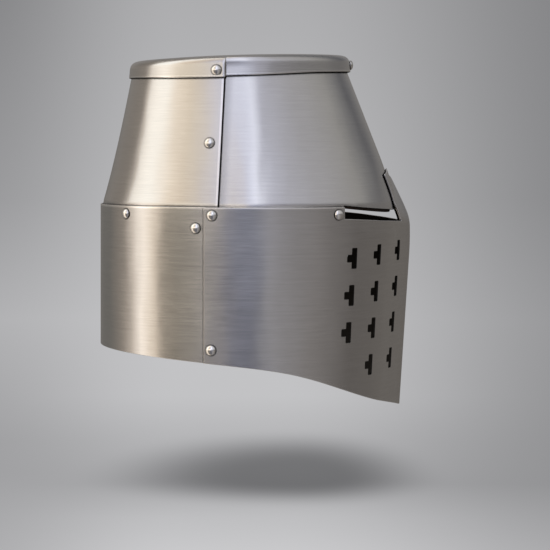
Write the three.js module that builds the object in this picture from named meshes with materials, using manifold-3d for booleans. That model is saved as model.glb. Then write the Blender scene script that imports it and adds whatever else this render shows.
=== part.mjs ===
// A knight's great helm with a flat top: five steel plates lapped over one another and riveted,
// a laced leather liner, and a two-part chin strap with a buckle.
// Millimetres. +Z is up, the helm faces -Y, and +X is the wearer's left.
// The origin is below the middle of the helm, level with the lowest point of the face plate.
// Heights below are counted from a datum that lies DATUM above that point.
import * as THREE from 'three';
import { mergeVertices } from 'three/addons/utils/BufferGeometryUtils.js';
import Module from 'manifold-3d';

const wasm = await Module();
wasm.setup();

// ---------------------------------------------------------------- driving dimensions

const PLATE = 1.6;              // thickness of every steel plate
const LAP_GAP = 0.4;            // clearance between two lapped plates
const LAP = PLATE + LAP_GAP;
const DATUM = 2.2;

// Lower band: the neck plate behind, the face plate in front and outside it.
const NECK = { half: 100, rear: 135, top: 173.2, frontEdge: -18 };
const FACE = { half: 102, rear: 137, top: 172.8, rearEdge: -41.5 };
const KEEL = {
  reach: 135.75,                // how far the centre crease stands forward at the bend
  lean: 0.066,                  // it falls back this much per millimetre below the bend
  facet: 40,                    // the plate is flat from here to the crease
  bend: 160,                    // above this height the bar leans back to the skull
  bendWidth: 8,
  bendSlope: 0.56,
  level: 150,
};
const HEM = { rear: 52.76, fall: 0.0587, dropStart: 36.6, dropWidth: 37.6, dropSlope: 0.4264 };

// The brow bar is the tongue of the face plate between the eye slits.
const BAR = {
  foot: 17, head: 28, crease: 196, flat: 198, corner: 199, tip: 203.5,
  spare: 4,                     // the blank is this much wider than the bar before it is trimmed
  fade: 45,                     // the bar's bend dies out this far from the centre
  flare: 6,                     // it widens to the head over this much height about the slit's foot
  columns: 3,                   // columns of the blank on each half of the bar
  slopeLoss: 0.0055,            // the crease flattens this much per millimetre of height
};
const SLIT = {
  rear: 75, foot: 158.6, middle: 160.2, middleSide: 50, end: 163, endSide: 82,
  browEnd: 173.6, browFront: 165.1, browSetback: 0.7,
};

// Skull: a tapering oval whose walls meet the band below and the cap above.
const SKULL = {
  top: 282,                     // the level where the oval of the top is taken
  depth: 107,                   // below this depth the walls stand upright, inside the band
  foot: 150,
  rear: 108.2, rearTaper: 0.2, rearFlare: 2.5e-6,
  front: 82.1, frontTaper: 0.39, browTurn: 66, browCurve: 0.0021,
  browDepth: 118,               // the brow slopes on forward down to this depth
  half: 77, halfTaper: 0.165, halfFlare: 2.2e-6,
  centre: -13.3,
  squareness: 0.12,
};
const SEAM = { atBand: -30, rise: 0.0455, lap: 14, bandLevel: 172, start: 3, blend: 34 };

// Cap: a shallow dome with a turned-down flange. Its heights are counted from the plane that the
// flange's lower edge meets at the front and the rear; between them the edge sags below it.
const CAP = {
  rear: 110.3, front: 83, half: 79.4, flange: 14, fold: 6, foldSteps: 3,
  rimRear: 282, rimRise: 5.7, rimSag: 4.2, crownHeight: 16.7,
  blank: 100,                   // radius of the round blank that is drawn out to the oval
  core: 12,                     // insets up to here are measured square to the rim
  level: 15, blend: 45,         // the middle is level out to the first radius, blended to the second
  columns: 36,
  plateUp: 8,                   // how far the skull plates reach up inside the flange
};

const RIVET = {
  head: 4.2, rise: 2.8, shank: 2, hole: 2.3, tail: 3.1, tailHeight: 1.2, gap: 0.2,
  drillUp: 5, drillLength: 18,
};

// Where each rivet stands: f forward of the middle, z up, and the grip between head and tail.
const RIVETS = {
  capUp: 6,                     // above the flange's lower edge
  capFront: { grip: 8 },
  capSide: { f: -31.6, grip: 8.6 },
  seam: { z: 225.8, behind: 9.5, grip: 2 * LAP },
  bandLevel: 166.5,
  bandRear: { f: -108, grip: 10.2 },
  bandSide: { f: -34.6, grip: 12.2 },
  bandFront: { f: 69.8, grip: 11 },
  strap: { f: -48.1, z: 155.9, grip: 10.8 },
  hem: { f: -35.4, z: 56.3, grip: 2 * LAP },
  brow: { z: 200.6, grip: 5.4, head: 3.3, countersink: 0.8 * PLATE, below: 0.05 },
};

// Breathing cuts in the face plate: a bar with a stub on its rear side.
const BREATH = {
  height: 16.6, bar: 4.9, stub: 4.8, stubHeight: 5.6, pitch: 30.7,
  lean: 0.082, rowRise: 1.8, topRow: 130, rowLevel: 130,
  columns: [{ f: 83, rows: 3 }, { f: 104.5, rows: 4 }, { f: 123.1, rows: 4 }],
};

const LEATHER = 2.2;
const LINER = {
  inset: 4.6, foot: 178, top: 206, tabFoot: 158.5,
  tabs: [{ f: -106, half: 3.2 }, { f: -34, half: 3.2 }, { f: 68.7, half: 8 }],
  overrun: 0.06,                // each half of the band runs this far past the side, in radians
  browDrop: 2,                // the band hangs this far below the skull's edge over the eye slits
  browStart: 60,                // it begins to come down this far forward
  tabOverlap: 3, petalOverlap: 6, petalInset: 1.3,
  petals: 8, petalRoot: 0.3, petalTip: 0.22, crown: 258, tipRadius: 30,
  laceRadius: 38, laceLevel: 256.3, lace: 1.2, laceHole: 1.7, weave: 2.6,
};
const STRAP = {
  width: 16, clear: 7.8, hang: 88, tilt: -0.085, shortHang: 62, foldGap: 3.4,
  tail: -8, holes: 5, holePitch: 10, holeRadius: 1.6, doubled: 16, slot: 5, slotShare: 6,
  merge: 0.05,                  // the stitched layers are joined over this much
};
const KEEPER = { height: 8, thick: 1.5, gap: 0.5, rightLevel: -34, leftLevel: -22 };
const BUCKLE = { bar: 1.3, clear: 0.45, wide: 24, tall: 20 };
const PRONG = {
  thick: 1.1, wide: 3, clear: 0.3,
  past: 1,                      // its tip stands this far past the frame's lower bar
  tipThick: 1.76, bed: 0.35, neck: 0.2, heel: 0.1,
};

// ---------------------------------------------------------------- materials

function steel(colour, roughness) {
  return new THREE.MeshStandardMaterial({ color: colour, roughness, metalness: 1 });
}

function hide(colour) {
  return new THREE.MeshStandardMaterial({ color: colour, roughness: 0.8, metalness: 0 });
}

const brushedSteel = () => steel(0xa8a6a4, 0.35);
const rivetSteel = () => steel(0xc8c6c2, 0.3);
const buckleBrass = () => steel(0xb08d4a, 0.35);
const brownLeather = () => hide(0x5b3a22);
const cordLeather = () => hide(0x2e2019);

// ---------------------------------------------------------------- solids

function toSolid(geometry) {
  const bare = geometry.index ? geometry.toNonIndexed() : geometry.clone();
  bare.deleteAttribute('normal');
  bare.deleteAttribute('uv');
  const merged = mergeVertices(bare, 1e-4);
  const vertProperties = new Float32Array(merged.attributes.position.array);
  const triVerts = new Uint32Array(merged.index.array);
  return new wasm.Manifold(new wasm.Mesh({ numProp: 3, vertProperties, triVerts }));
}

function toGeometry(solid) {
  const { numProp, vertProperties, triVerts } = solid.getMesh();
  const geometry = new THREE.BufferGeometry();
  const positions = new Float32Array((vertProperties.length / numProp) * 3);
  for (let i = 0; i < positions.length / 3; i += 1) {
    for (let axis = 0; axis < 3; axis += 1) {
      positions[3 * i + axis] = vertProperties[numProp * i + axis];
    }
  }
  geometry.setAttribute('position', new THREE.BufferAttribute(positions, 3));
  geometry.setIndex(new THREE.BufferAttribute(new Uint32Array(triVerts), 1));
  geometry.computeVertexNormals();
  return geometry;
}

function cutAway(solid, cutters) {
  return cutters.reduce((rest, cutter) => rest.subtract(cutter), solid);
}

// Moves every vertex of a geometry to where the function puts it.
function warp(geometry, move) {
  const position = geometry.attributes.position;
  const vertex = new THREE.Vector3();
  for (let i = 0; i < position.count; i += 1) {
    vertex.fromBufferAttribute(position, i);
    move(vertex);
    position.setXYZ(i, vertex.x, vertex.y, vertex.z);
  }
  return geometry;
}

// A sheet formed from a flat blank. place(u, v) gives a point of its outer face; the blank runs
// round the helm with u, up with v, and the inner face lies the thickness further in.
function formSheet(columns, rows, thickness, place) {
  const blank = new THREE.BoxGeometry(1, 1, 1, columns, rows, 1);
  return warp(blank, (vertex) => {
    const u = vertex.x + 0.5;
    const v = vertex.y + 0.5;
    const inward = vertex.z < 0 ? thickness : 0;
    vertex.copy(offsetFrom(place, u, v, -inward));
  });
}

const STEP = 1e-3;

function offsetFrom(place, u, v, distance) {
  const point = place(u, v);
  if (distance === 0) {
    return point;
  }
  const normal = normalOf(place, u, v);
  return point.addScaledVector(normal, distance);
}

function normalOf(place, u, v) {
  const along = place(u + STEP, v).sub(place(u - STEP, v));
  const up = place(u, v + STEP).sub(place(u, v - STEP));
  return along.cross(up).normalize();
}

function smooth(from, to, value) {
  return THREE.MathUtils.smoothstep(value, from, to);
}

const at = (x, f, z) => new THREE.Vector3(x, -f, z);     // f is the distance forward of the middle

// Softened corner: zero well below the start, rising at the given slope well above it.
function ramp(value, start, width, slope) {
  const past = value - start;
  return 0.5 * slope * (Math.hypot(past, width) + past);
}

// ---------------------------------------------------------------- skull surface

function skullOval(z) {
  const depth = Math.min(SKULL.top - z, SKULL.depth);
  const share = Math.max(depth, 0) / SKULL.depth;
  const browDepth = Math.min(SKULL.top - z, SKULL.browDepth);
  const turn = Math.max(browDepth - SKULL.browTurn, 0);
  const centre = SKULL.centre * (1 - share);
  return {
    centre,
    rear: SKULL.rear + SKULL.rearTaper * depth + SKULL.rearFlare * depth ** 3,
    front: SKULL.front + SKULL.frontTaper * browDepth - SKULL.browCurve * turn ** 2,
    half: SKULL.half + SKULL.halfTaper * depth + SKULL.halfFlare * depth ** 3,
    power: 2 / (2 + SKULL.squareness * share),
  };
}

// Outer skull surface: turn is 0 at the front and a quarter turn at the wearer's left.
function skullPoint(turn, z) {
  const oval = skullOval(z);
  const across = Math.sin(turn);
  const ahead = Math.cos(turn);
  if (ahead < 0) {
    return at(oval.half * across, oval.centre + (oval.rear + oval.centre) * ahead, z);
  }
  const x = oval.half * Math.sign(across) * Math.abs(across) ** oval.power;
  return at(x, oval.centre + (oval.front - oval.centre) * ahead ** oval.power, z);
}

const skullNormal = (turn, z) => normalOf((a, b) => skullPoint(a, b), turn, z);

// The turn at which the skull's side lies at a given distance forward, behind the widest place.
function turnBehind(f, z) {
  const oval = skullOval(z);
  return Math.acos((f - oval.centre) / (oval.rear + oval.centre));
}

function turnAhead(f, z) {
  const oval = skullOval(z);
  return Math.acos(((f - oval.centre) / (oval.front - oval.centre)) ** (1 / oval.power));
}

function skullTurn(f, z) {
  return f > skullOval(z).centre ? turnAhead(f, z) : turnBehind(f, z);
}

// Distance forward of the outer skull surface for a place near the front.
function skullFront(x, z) {
  const oval = skullOval(z);
  const across = Math.abs(x) / oval.half;
  const ahead = (1 - across ** (2 / oval.power)) ** (oval.power / 2);
  return oval.centre + (oval.front - oval.centre) * ahead;
}

const seamForward = (z) => SEAM.atBand + SEAM.rise * Math.max(z - SEAM.bandLevel, 0);

const capMiddle = (CAP.front - CAP.rear) / 2;
const capLength = (CAP.front + CAP.rear) / 2;

const capAlong = (f) => (f - capMiddle) / capLength;
const capPlane = (f) => CAP.rimRear + 0.5 * CAP.rimRise * (1 + capAlong(f));

// Lower edge of the cap's flange.
const rimLevel = (f) => capPlane(f) - CAP.rimSag * (1 - capAlong(f) ** 2);

function skullTopAt(turn) {
  const low = skullPoint(turn, SKULL.top);
  return rimLevel(-low.y) + CAP.plateUp;
}

const FRONT_COLUMNS = 28;
const REAR_COLUMNS = 24;
const SKULL_ROWS = 5;
const FRONT_ARC = 0.6 * Math.PI;        // the front plate reaches this turn on each side
const REAR_ARC = 0.55 * Math.PI;        // the rear plate begins there

function rearSkullPlate(u, v) {
  const guess = skullTopAt(THREE.MathUtils.lerp(REAR_ARC, 2 * Math.PI - REAR_ARC, u));
  const z = THREE.MathUtils.lerp(SKULL.foot, guess, v);
  const edge = turnBehind(seamForward(z), z);
  return skullPoint(THREE.MathUtils.lerp(edge, 2 * Math.PI - edge, u), z);
}

function frontSkullPlate(u, v) {
  const guess = skullTopAt(THREE.MathUtils.lerp(-FRONT_ARC, FRONT_ARC, u));
  const z = THREE.MathUtils.lerp(SKULL.foot, guess, v);
  const edge = turnBehind(seamForward(z) - SEAM.lap, z);
  const turn = THREE.MathUtils.lerp(-edge, edge, u);
  const point = skullPoint(turn, z);
  const seam = seamForward(z);
  const inset = LAP * (1 - smooth(seam + SEAM.start, seam + SEAM.blend, -point.y));
  return point.addScaledVector(skullNormal(turn, z), -inset);
}

// ---------------------------------------------------------------- lower band surface

const straightKeel = (z) => KEEL.reach - KEEL.lean * (KEEL.level - z);
const keelForward = (z) => straightKeel(z) - ramp(z, KEEL.bend, KEEL.bendWidth, KEEL.bendSlope);
const facetSine = KEEL.facet / FACE.half;
const facetCosine = Math.sqrt(1 - facetSine ** 2);
const facetTurn = Math.asin(facetSine);
const faceReach = (z) => straightKeel(Math.min(z, KEEL.level)) * facetCosine;
const facetSlope = (z) => (faceReach(z) / FACE.half) * (facetSine / facetCosine);

function hemLevel(f) {
  return HEM.rear - HEM.fall * (f + NECK.rear) - ramp(f, HEM.dropStart, HEM.dropWidth, HEM.dropSlope);
}

// Outer face of the face plate; above the slits only its middle is kept, as the brow bar.
function facePoint(turn, z) {
  const across = Math.sin(turn);
  const ahead = Math.cos(turn);
  if (ahead < 0) {
    return at(FACE.half * across, FACE.rear * ahead, z);
  }
  if (Math.abs(turn) >= facetTurn) {
    const x = FACE.half * across;
    return at(x, bentForward(x, z, faceReach(z) * ahead), z);
  }
  const x = KEEL.facet * (turn / facetTurn);
  const flat = faceReach(z) / facetCosine - facetSlope(z) * Math.abs(x);
  return at(x, bentForward(x, z, flat), z);
}

function bentForward(x, z, flat) {
  const side = Math.abs(x);
  const flare = (BAR.head - BAR.foot) * smooth(SLIT.foot - BAR.flare, SLIT.foot + BAR.flare, z);
  const weight = 1 - smooth(BAR.foot + flare, BAR.fade + flare, side);
  if (weight === 0 || z < BREATH.topRow) {
    return flat;
  }
  const rest = skullFront(Math.min(side, BAR.fade), z) + LAP + LAP_GAP / 2;
  const slope = facetSlope(z) - BAR.slopeLoss * Math.max(z - KEEL.level, 0);
  const creased = Math.max(keelForward(z) - slope * side, rest);
  const flattened = THREE.MathUtils.lerp(creased, rest, smooth(BAR.crease, BAR.flat, z));
  return THREE.MathUtils.lerp(flat, flattened, weight);
}

function faceTurnAt(f, z) {
  const reach = faceReach(z);
  if (f < 0) {
    return Math.acos(f / FACE.rear);
  }
  if (f < reach * facetCosine) {
    return Math.acos(f / reach);
  }
  return facetTurn * ((reach / facetCosine - f) / facetSlope(z) / KEEL.facet);
}

const FACE_HALF_COLUMNS = 15;
const FACE_ROWS = [0, 0.2, 0.4, 0.6, 0.72, 0.78, 0.84, 0.9, 0.957, 0.969, 1];
const barColumn = BAR.columns / FACE_HALF_COLUMNS;        // share of the half plate that holds the bar

// Column stations: close together across the brow bar, then evenly spaced to the rear edge.
function faceTurnOf(share) {
  const rearTurn = faceTurnAt(FACE.rearEdge, KEEL.level);
  const barTurn = facetTurn * ((BAR.head + BAR.spare) / KEEL.facet);
  const size = Math.abs(share);
  if (size < barColumn) {
    return Math.sign(share) * barTurn * (size / barColumn);
  }
  const along = (size - barColumn) / (1 - barColumn);
  return Math.sign(share) * THREE.MathUtils.lerp(barTurn, rearTurn, along);
}

function faceTopAt(share) {
  const slitTurn = faceTurnAt(SLIT.rear + 6, KEEL.level);
  const turn = Math.abs(faceTurnOf(share));
  const barTurn = facetTurn * ((BAR.head + BAR.spare) / KEEL.facet);
  return THREE.MathUtils.lerp(BAR.tip + 1, FACE.top, smooth(barTurn, slitTurn, turn));
}

function faceHem(turn) {
  const guess = hemLevel(-facePoint(turn, 0).y);
  return hemLevel(-facePoint(turn, guess).y);
}

// Rows stand closer together where the brow bar bends back.
function rowShare(v) {
  const place = THREE.MathUtils.clamp(v, 0, 1) * (FACE_ROWS.length - 1);
  const row = Math.min(Math.floor(place), FACE_ROWS.length - 2);
  return THREE.MathUtils.lerp(FACE_ROWS[row], FACE_ROWS[row + 1], place - row);
}

function facePlateAt(u, v) {
  const share = 2 * u - 1;
  const turn = faceTurnOf(share);
  const hem = faceHem(turn);
  const top = faceTopAt(share);
  return facePoint(turn, THREE.MathUtils.lerp(hem, top, rowShare(v)));
}

function neckPlateAt(u, v) {
  const edge = Math.acos(NECK.frontEdge / NECK.rear);
  const turn = THREE.MathUtils.lerp(edge, 2 * Math.PI - edge, u);
  const f = NECK.rear * Math.cos(turn);
  return at(NECK.half * Math.sin(turn), f, THREE.MathUtils.lerp(hemLevel(f), NECK.top, v));
}

// ---------------------------------------------------------------- cutters

function prismFromFront(points, from, to) {
  const outline = new THREE.Shape(points.map(([x, z]) => new THREE.Vector2(x, z)));
  const geometry = new THREE.ExtrudeGeometry(outline, { depth: to - from, bevelEnabled: false });
  geometry.rotateX(Math.PI / 2);
  geometry.translate(0, -from, 0);
  return toSolid(geometry);
}

function prismFromSide(points, halfWidth) {
  const outline = new THREE.Shape(points.map(([f, z]) => new THREE.Vector2(-f, z)));
  const settings = { depth: 2 * halfWidth, bevelEnabled: false };
  const geometry = new THREE.ExtrudeGeometry(outline, settings);
  geometry.rotateX(Math.PI / 2);
  geometry.rotateZ(Math.PI / 2);
  geometry.translate(-halfWidth, 0, 0);
  return toSolid(geometry);
}

const OUT = 130;                // well outside the helm's half width
const ABOVE = 230;              // well above the brow bar
const BELOW = 140;              // well below the skull plates' lower edges
const BROW_FRONT = 150;         // well ahead of the skull, where the brow line's fall is measured

// Everything beside and above the brow bar, in front of the slit's rear end.
function besideBar(side) {
  const points = [
    [0, BAR.tip], [BAR.head, BAR.corner], [BAR.foot, SLIT.foot], [SLIT.middleSide, SLIT.middle],
    [SLIT.endSide, SLIT.end], [OUT, SLIT.end + 2], [OUT, ABOVE], [0, ABOVE],
  ];
  const mirrored = points.map(([x, z]) => [side * x, z]);
  return prismFromFront(side > 0 ? mirrored : mirrored.reverse(), SLIT.rear, OUT + 30);
}

const browRear = SLIT.rear - SLIT.browSetback;

// Lower edge of the front skull plate, over the eye slits.
function browLine(f) {
  const share = (f - browRear) / (BROW_FRONT - browRear);
  return THREE.MathUtils.lerp(SLIT.browEnd, SLIT.browFront, share);
}

function slitUnderBrow() {
  const front = BROW_FRONT;
  const rear = browRear;
  const points = [[rear, BELOW], [front, BELOW], [front, SLIT.browFront], [rear, SLIT.browEnd]];
  return prismFromSide(points, OUT);
}

function breathOutline() {
  const half = BREATH.bar / 2;
  const tall = BREATH.height / 2;
  const stub = BREATH.stubHeight / 2;
  const points = [
    [half, -tall], [half, tall], [-half, tall], [-half, stub],
    [-half - BREATH.stub, stub], [-half - BREATH.stub, -stub], [-half, -stub], [-half, -tall],
  ];
  return new THREE.Shape(points.map(([x, y]) => new THREE.Vector2(x, y)));
}

// A frame on the face plate: first axis forward along the plate, second up it, third outward.
function frameOnFace(f, z, side) {
  const turn = side * faceTurnAt(f, z);
  const point = facePoint(turn, z);
  const normal = normalOf(facePoint, turn, z);
  const up = facePoint(turn, z + 1).sub(facePoint(turn, z - 1));
  up.addScaledVector(at(0, 1, 0), 2 * BREATH.lean - 2 * KEEL.lean).normalize();
  const forward = new THREE.Vector3().crossVectors(up, normal).normalize();
  const upright = new THREE.Vector3().crossVectors(normal, forward);
  return new THREE.Matrix4().makeBasis(forward, upright, normal).setPosition(point);
}

function breathCutters(side) {
  const cutters = [];
  BREATH.columns.forEach((column, index) => {
    for (let row = 0; row < column.rows; row += 1) {
      const z = BREATH.topRow + BREATH.rowRise * index - BREATH.pitch * row;
      const f = column.f + BREATH.lean * (z - BREATH.rowLevel);
      const depth = 6 * PLATE;
      const geometry = new THREE.ExtrudeGeometry(breathOutline(), { depth, bevelEnabled: false });
      geometry.translate(0, 0, -depth / 2);
      if (side > 0) {
        geometry.rotateY(Math.PI);
      }
      cutters.push(toSolid(geometry.applyMatrix4(frameOnFace(f, z, side))));
    }
  });
  return cutters;
}

// ---------------------------------------------------------------- rivets

// Turns local +Y to the outward direction and moves the origin to the point.
function standOn(point, normal) {
  const turn = new THREE.Quaternion().setFromUnitVectors(new THREE.Vector3(0, 1, 0), normal);
  return new THREE.Matrix4().compose(point, turn, new THREE.Vector3(1, 1, 1));
}

const ROUND = 8;

function rivetGeometry(grip) {
  const inner = -grip - RIVET.gap;
  const shoulder = Math.SQRT1_2;
  const profile = [
    [0, inner - RIVET.tailHeight], [RIVET.tail, inner - RIVET.tailHeight], [RIVET.tail, inner],
    [RIVET.shank, inner], [RIVET.shank, RIVET.gap], [RIVET.head, RIVET.gap],
    [RIVET.head * shoulder, RIVET.gap + RIVET.rise * shoulder], [0, RIVET.gap + RIVET.rise],
  ];
  return new THREE.LatheGeometry(profile.map(([r, y]) => new THREE.Vector2(r, y)), ROUND);
}

// The brow rivet is countersunk, so its head ends flush with the bar.
function flushRivetGeometry(grip) {
  const { head, countersink, below } = RIVETS.brow;
  const inner = -grip - RIVET.gap;
  const profile = [
    [0, inner - RIVET.tailHeight], [RIVET.tail, inner - RIVET.tailHeight], [RIVET.tail, inner],
    [RIVET.shank, inner], [RIVET.shank, -countersink], [head, -below], [0, -below],
  ];
  return new THREE.LatheGeometry(profile.map(([r, y]) => new THREE.Vector2(r, y)), ROUND);
}

function flushHole(frame) {
  const { head, countersink } = RIVETS.brow;
  const deep = -countersink - LAP_GAP;
  const profile = [
    [0, -RIVET.drillLength], [RIVET.hole, -RIVET.drillLength], [RIVET.hole, deep],
    [head + 1.5 * LAP_GAP, LAP_GAP], [0, LAP_GAP],
  ];
  const geometry = new THREE.LatheGeometry(profile.map(([r, y]) => new THREE.Vector2(r, y)), ROUND);
  return toSolid(geometry.applyMatrix4(frame));
}

function rivetHole(frame) {
  const geometry = new THREE.CylinderGeometry(RIVET.hole, RIVET.hole, RIVET.drillLength, ROUND);
  geometry.translate(0, RIVET.drillUp - RIVET.drillLength / 2, 0);
  return toSolid(geometry.applyMatrix4(frame));
}

function onNeck(f, z, side) {
  const x = side * NECK.half * Math.sqrt(1 - (f / NECK.rear) ** 2);
  const normal = new THREE.Vector3(x / NECK.half ** 2, -f / NECK.rear ** 2, 0).normalize();
  return standOn(at(x, f, z), normal);
}

function onFace(f, z, side) {
  const turn = side * faceTurnAt(f, z);
  return standOn(facePoint(turn, z), normalOf(facePoint, turn, z));
}

function capOutline(turn, inset) {
  const outer = (t) => at(CAP.half * Math.sin(t), capMiddle + capLength * Math.cos(t), 0);
  const along = outer(turn + STEP).sub(outer(turn - STEP));
  const normal = along.cross(new THREE.Vector3(0, 0, 1)).normalize();
  return outer(turn).addScaledVector(normal, -inset);
}

function onCap(turn, up) {
  const point = capOutline(turn, 0);
  const inner = capOutline(turn, 1);
  const normal = point.clone().sub(inner).normalize();
  point.z = rimLevel(-point.y) + up;
  return standOn(point, normal);
}

function onSeam(side) {
  const { z, behind } = RIVETS.seam;
  const turn = side * skullTurn(seamForward(z) - behind, z);
  return standOn(skullPoint(turn, z), skullNormal(turn, z));
}

function onBrow(z) {
  return standOn(facePoint(0, z), normalOf(facePoint, 0, z));
}

const capSideTurn = Math.acos((RIVETS.capSide.f - capMiddle) / capLength);
const sides = [{ name: 'right', sign: -1 }, { name: 'left', sign: 1 }];

const rivets = [];

function addRivet(name, frame, grip, plates) {
  rivets.push({ name, frame, grip, plates, hole: rivetHole(frame), make: rivetGeometry });
}

function addSideRivets({ name, sign }) {
  const { capUp, capSide, seam, bandLevel, bandRear, bandSide, bandFront, strap, hem } = RIVETS;
  const skulls = ['rearSkull', 'frontSkull'];
  addRivet(`rivet_cap_${name}`, onCap(sign * capSideTurn, capUp), capSide.grip, ['cap', ...skulls]);
  addRivet(`rivet_skull_seam_${name}`, onSeam(sign), seam.grip, skulls);
  const rearFrame = onNeck(bandRear.f, bandLevel, sign);
  addRivet(`rivet_band_rear_${name}`, rearFrame, bandRear.grip, ['neck', 'rearSkull', 'liner']);
  const sideFrame = onFace(bandSide.f, bandLevel, sign);
  addRivet(`rivet_band_side_${name}`, sideFrame, bandSide.grip, ['face', 'neck', ...skulls, 'liner']);
  const frontFrame = onFace(bandFront.f, bandLevel, sign);
  addRivet(`rivet_band_front_${name}`, frontFrame, bandFront.grip, ['face', 'frontSkull', 'liner']);
  const strapRivet = onNeck(strap.f, strap.z, sign);
  addRivet(`rivet_strap_${name}`, strapRivet, strap.grip, ['neck', 'rearSkull', 'strap']);
  addRivet(`rivet_hem_${name}`, onFace(hem.f, hem.z, sign), hem.grip, ['face', 'neck']);
}

addRivet('rivet_cap_front', onCap(0, RIVETS.capUp), RIVETS.capFront.grip, ['cap', 'frontSkull']);
sides.forEach(addSideRivets);
rivets.push({
  name: 'rivet_brow',
  frame: onBrow(RIVETS.brow.z),
  grip: RIVETS.brow.grip,
  plates: ['face', 'frontSkull'],
  hole: flushHole(onBrow(RIVETS.brow.z)),
  make: flushRivetGeometry,
});

function holesIn(plate) {
  return rivets.filter((rivet) => rivet.plates.includes(plate)).map((rivet) => rivet.hole);
}

// ---------------------------------------------------------------- plates

// Half section of the cap, as insets from the rim and heights: outside, then back along the inside.
function capSection() {
  const straight = CAP.flange - CAP.fold;
  const outer = [];
  const inner = [];
  for (let i = 0; i <= CAP.foldSteps; i += 1) {
    const angle = (Math.PI / 2) * (i / CAP.foldSteps);
    const tight = CAP.fold - PLATE;
    outer.push([CAP.fold * (1 - Math.cos(angle)), straight + CAP.fold * Math.sin(angle)]);
    inner.push([CAP.fold - tight * Math.cos(angle), straight + tight * Math.sin(angle)]);
  }
  const dome = [CAP.core, CAP.blend, CAP.blank - CAP.level].map((inset) => {
    const span = (inset - CAP.fold) / (CAP.blank - CAP.level - CAP.fold);
    return [inset, CAP.flange + (CAP.crownHeight - CAP.flange) * (1 - (1 - span) ** 2)];
  });
  const under = [...dome, [CAP.blank, CAP.crownHeight]].map(([inset, up]) => [inset, up - PLATE]);
  return [
    ...under.reverse(), ...inner.reverse(), [PLATE, 0], [0, 0], ...outer, ...dome,
    [CAP.blank, CAP.crownHeight],
  ];
}

// Moves a point of the round blank to its place on the oval cap.
function drawToOval(vertex) {
  const radius = Math.hypot(vertex.x, vertex.z);
  const turn = Math.atan2(vertex.x, vertex.z);
  const up = vertex.y;
  const inset = CAP.blank - radius;
  if (inset <= CAP.core) {
    vertex.copy(capOutline(turn, inset));
  } else {
    vertex.set(0, -capMiddle, 0).lerp(capOutline(turn, CAP.core), radius / (CAP.blank - CAP.core));
  }
  const f = -vertex.y;
  const outward = smooth(CAP.level, CAP.blend, radius);
  const plane = THREE.MathUtils.lerp(capPlane(capMiddle), capPlane(f), outward);
  const risen = Math.min(up / (CAP.flange - CAP.fold), 1);
  vertex.z = up + THREE.MathUtils.lerp(rimLevel(f), plane, risen);
}

function makeCap() {
  const points = capSection().map(([inset, up]) => new THREE.Vector2(CAP.blank - inset, up));
  const blank = new THREE.LatheGeometry(points, CAP.columns);
  return cutAway(toSolid(warp(blank, drawToOval)), holesIn('cap'));
}

function makeRearSkull() {
  const sheet = formSheet(REAR_COLUMNS, SKULL_ROWS, PLATE, rearSkullPlate);
  return cutAway(toSolid(sheet), holesIn('rearSkull'));
}

function makeFrontSkull() {
  const sheet = formSheet(FRONT_COLUMNS, SKULL_ROWS, PLATE, frontSkullPlate);
  return cutAway(toSolid(sheet), [slitUnderBrow(), ...holesIn('frontSkull')]);
}

function makeNeck() {
  return cutAway(toSolid(formSheet(28, 2, PLATE, neckPlateAt)), holesIn('neck'));
}

function makeFace() {
  const sheet = formSheet(2 * FACE_HALF_COLUMNS, FACE_ROWS.length - 1, PLATE, facePlateAt);
  const cutters = [besideBar(1), besideBar(-1), ...breathCutters(1), ...breathCutters(-1)];
  return cutAway(toSolid(sheet), [...cutters, ...holesIn('face')]);
}

// ---------------------------------------------------------------- liner

const linerSurface = (turn, z) => skullPoint(turn, z).addScaledVector(skullNormal(turn, z), -LINER.inset);

function linerStrip(from, to, foot, top, columns) {
  return toSolid(formSheet(columns, 1, LEATHER, (u, v) => {
    const turn = THREE.MathUtils.lerp(from, to, u);
    return linerSurface(turn, THREE.MathUtils.lerp(foot(turn), top, v));
  }));
}

// The band comes down in front to show below the skull's edge over the eye slits.
function linerFoot(turn) {
  const f = -linerSurface(turn, LINER.foot).y;
  const down = smooth(LINER.browStart, browRear, f);
  return THREE.MathUtils.lerp(LINER.foot, browLine(f) - LINER.browDrop, down);
}

// A petal rises from the band and curves in to lie almost level at the lace.
function petalPoint(turn, u, v) {
  const half = THREE.MathUtils.lerp(LINER.petalRoot, LINER.petalTip, v);
  const angle = turn + (2 * u - 1) * half;
  const bottom = LINER.top - LINER.petalOverlap;
  const root = linerSurface(angle, bottom);
  root.addScaledVector(skullNormal(angle, bottom), -LINER.petalInset);
  const tip = at(LINER.tipRadius * Math.sin(angle), SKULL.centre + LINER.tipRadius * Math.cos(angle), 0);
  const inward = 1 - Math.cos((Math.PI / 2) * v);
  const point = root.lerp(tip, inward);
  point.z = THREE.MathUtils.lerp(bottom, LINER.crown, Math.sin((Math.PI / 2) * v));
  return point;
}

function lacePath() {
  const count = 8 * LINER.petals;
  const points = [];
  for (let i = 0; i < count; i += 1) {
    const angle = (2 * Math.PI * (i + 0.5)) / count;
    const wave = LINER.weave * Math.cos(LINER.petals * angle);
    const radius = LINER.laceRadius;
    const x = radius * Math.sin(angle);
    points.push(at(x, SKULL.centre + radius * Math.cos(angle), LINER.laceLevel + wave));
  }
  return new THREE.CatmullRomCurve3(points, true);
}

function laceTube(radius, around) {
  return new THREE.TubeGeometry(lacePath(), 6 * LINER.petals, radius, around, true);
}

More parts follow.
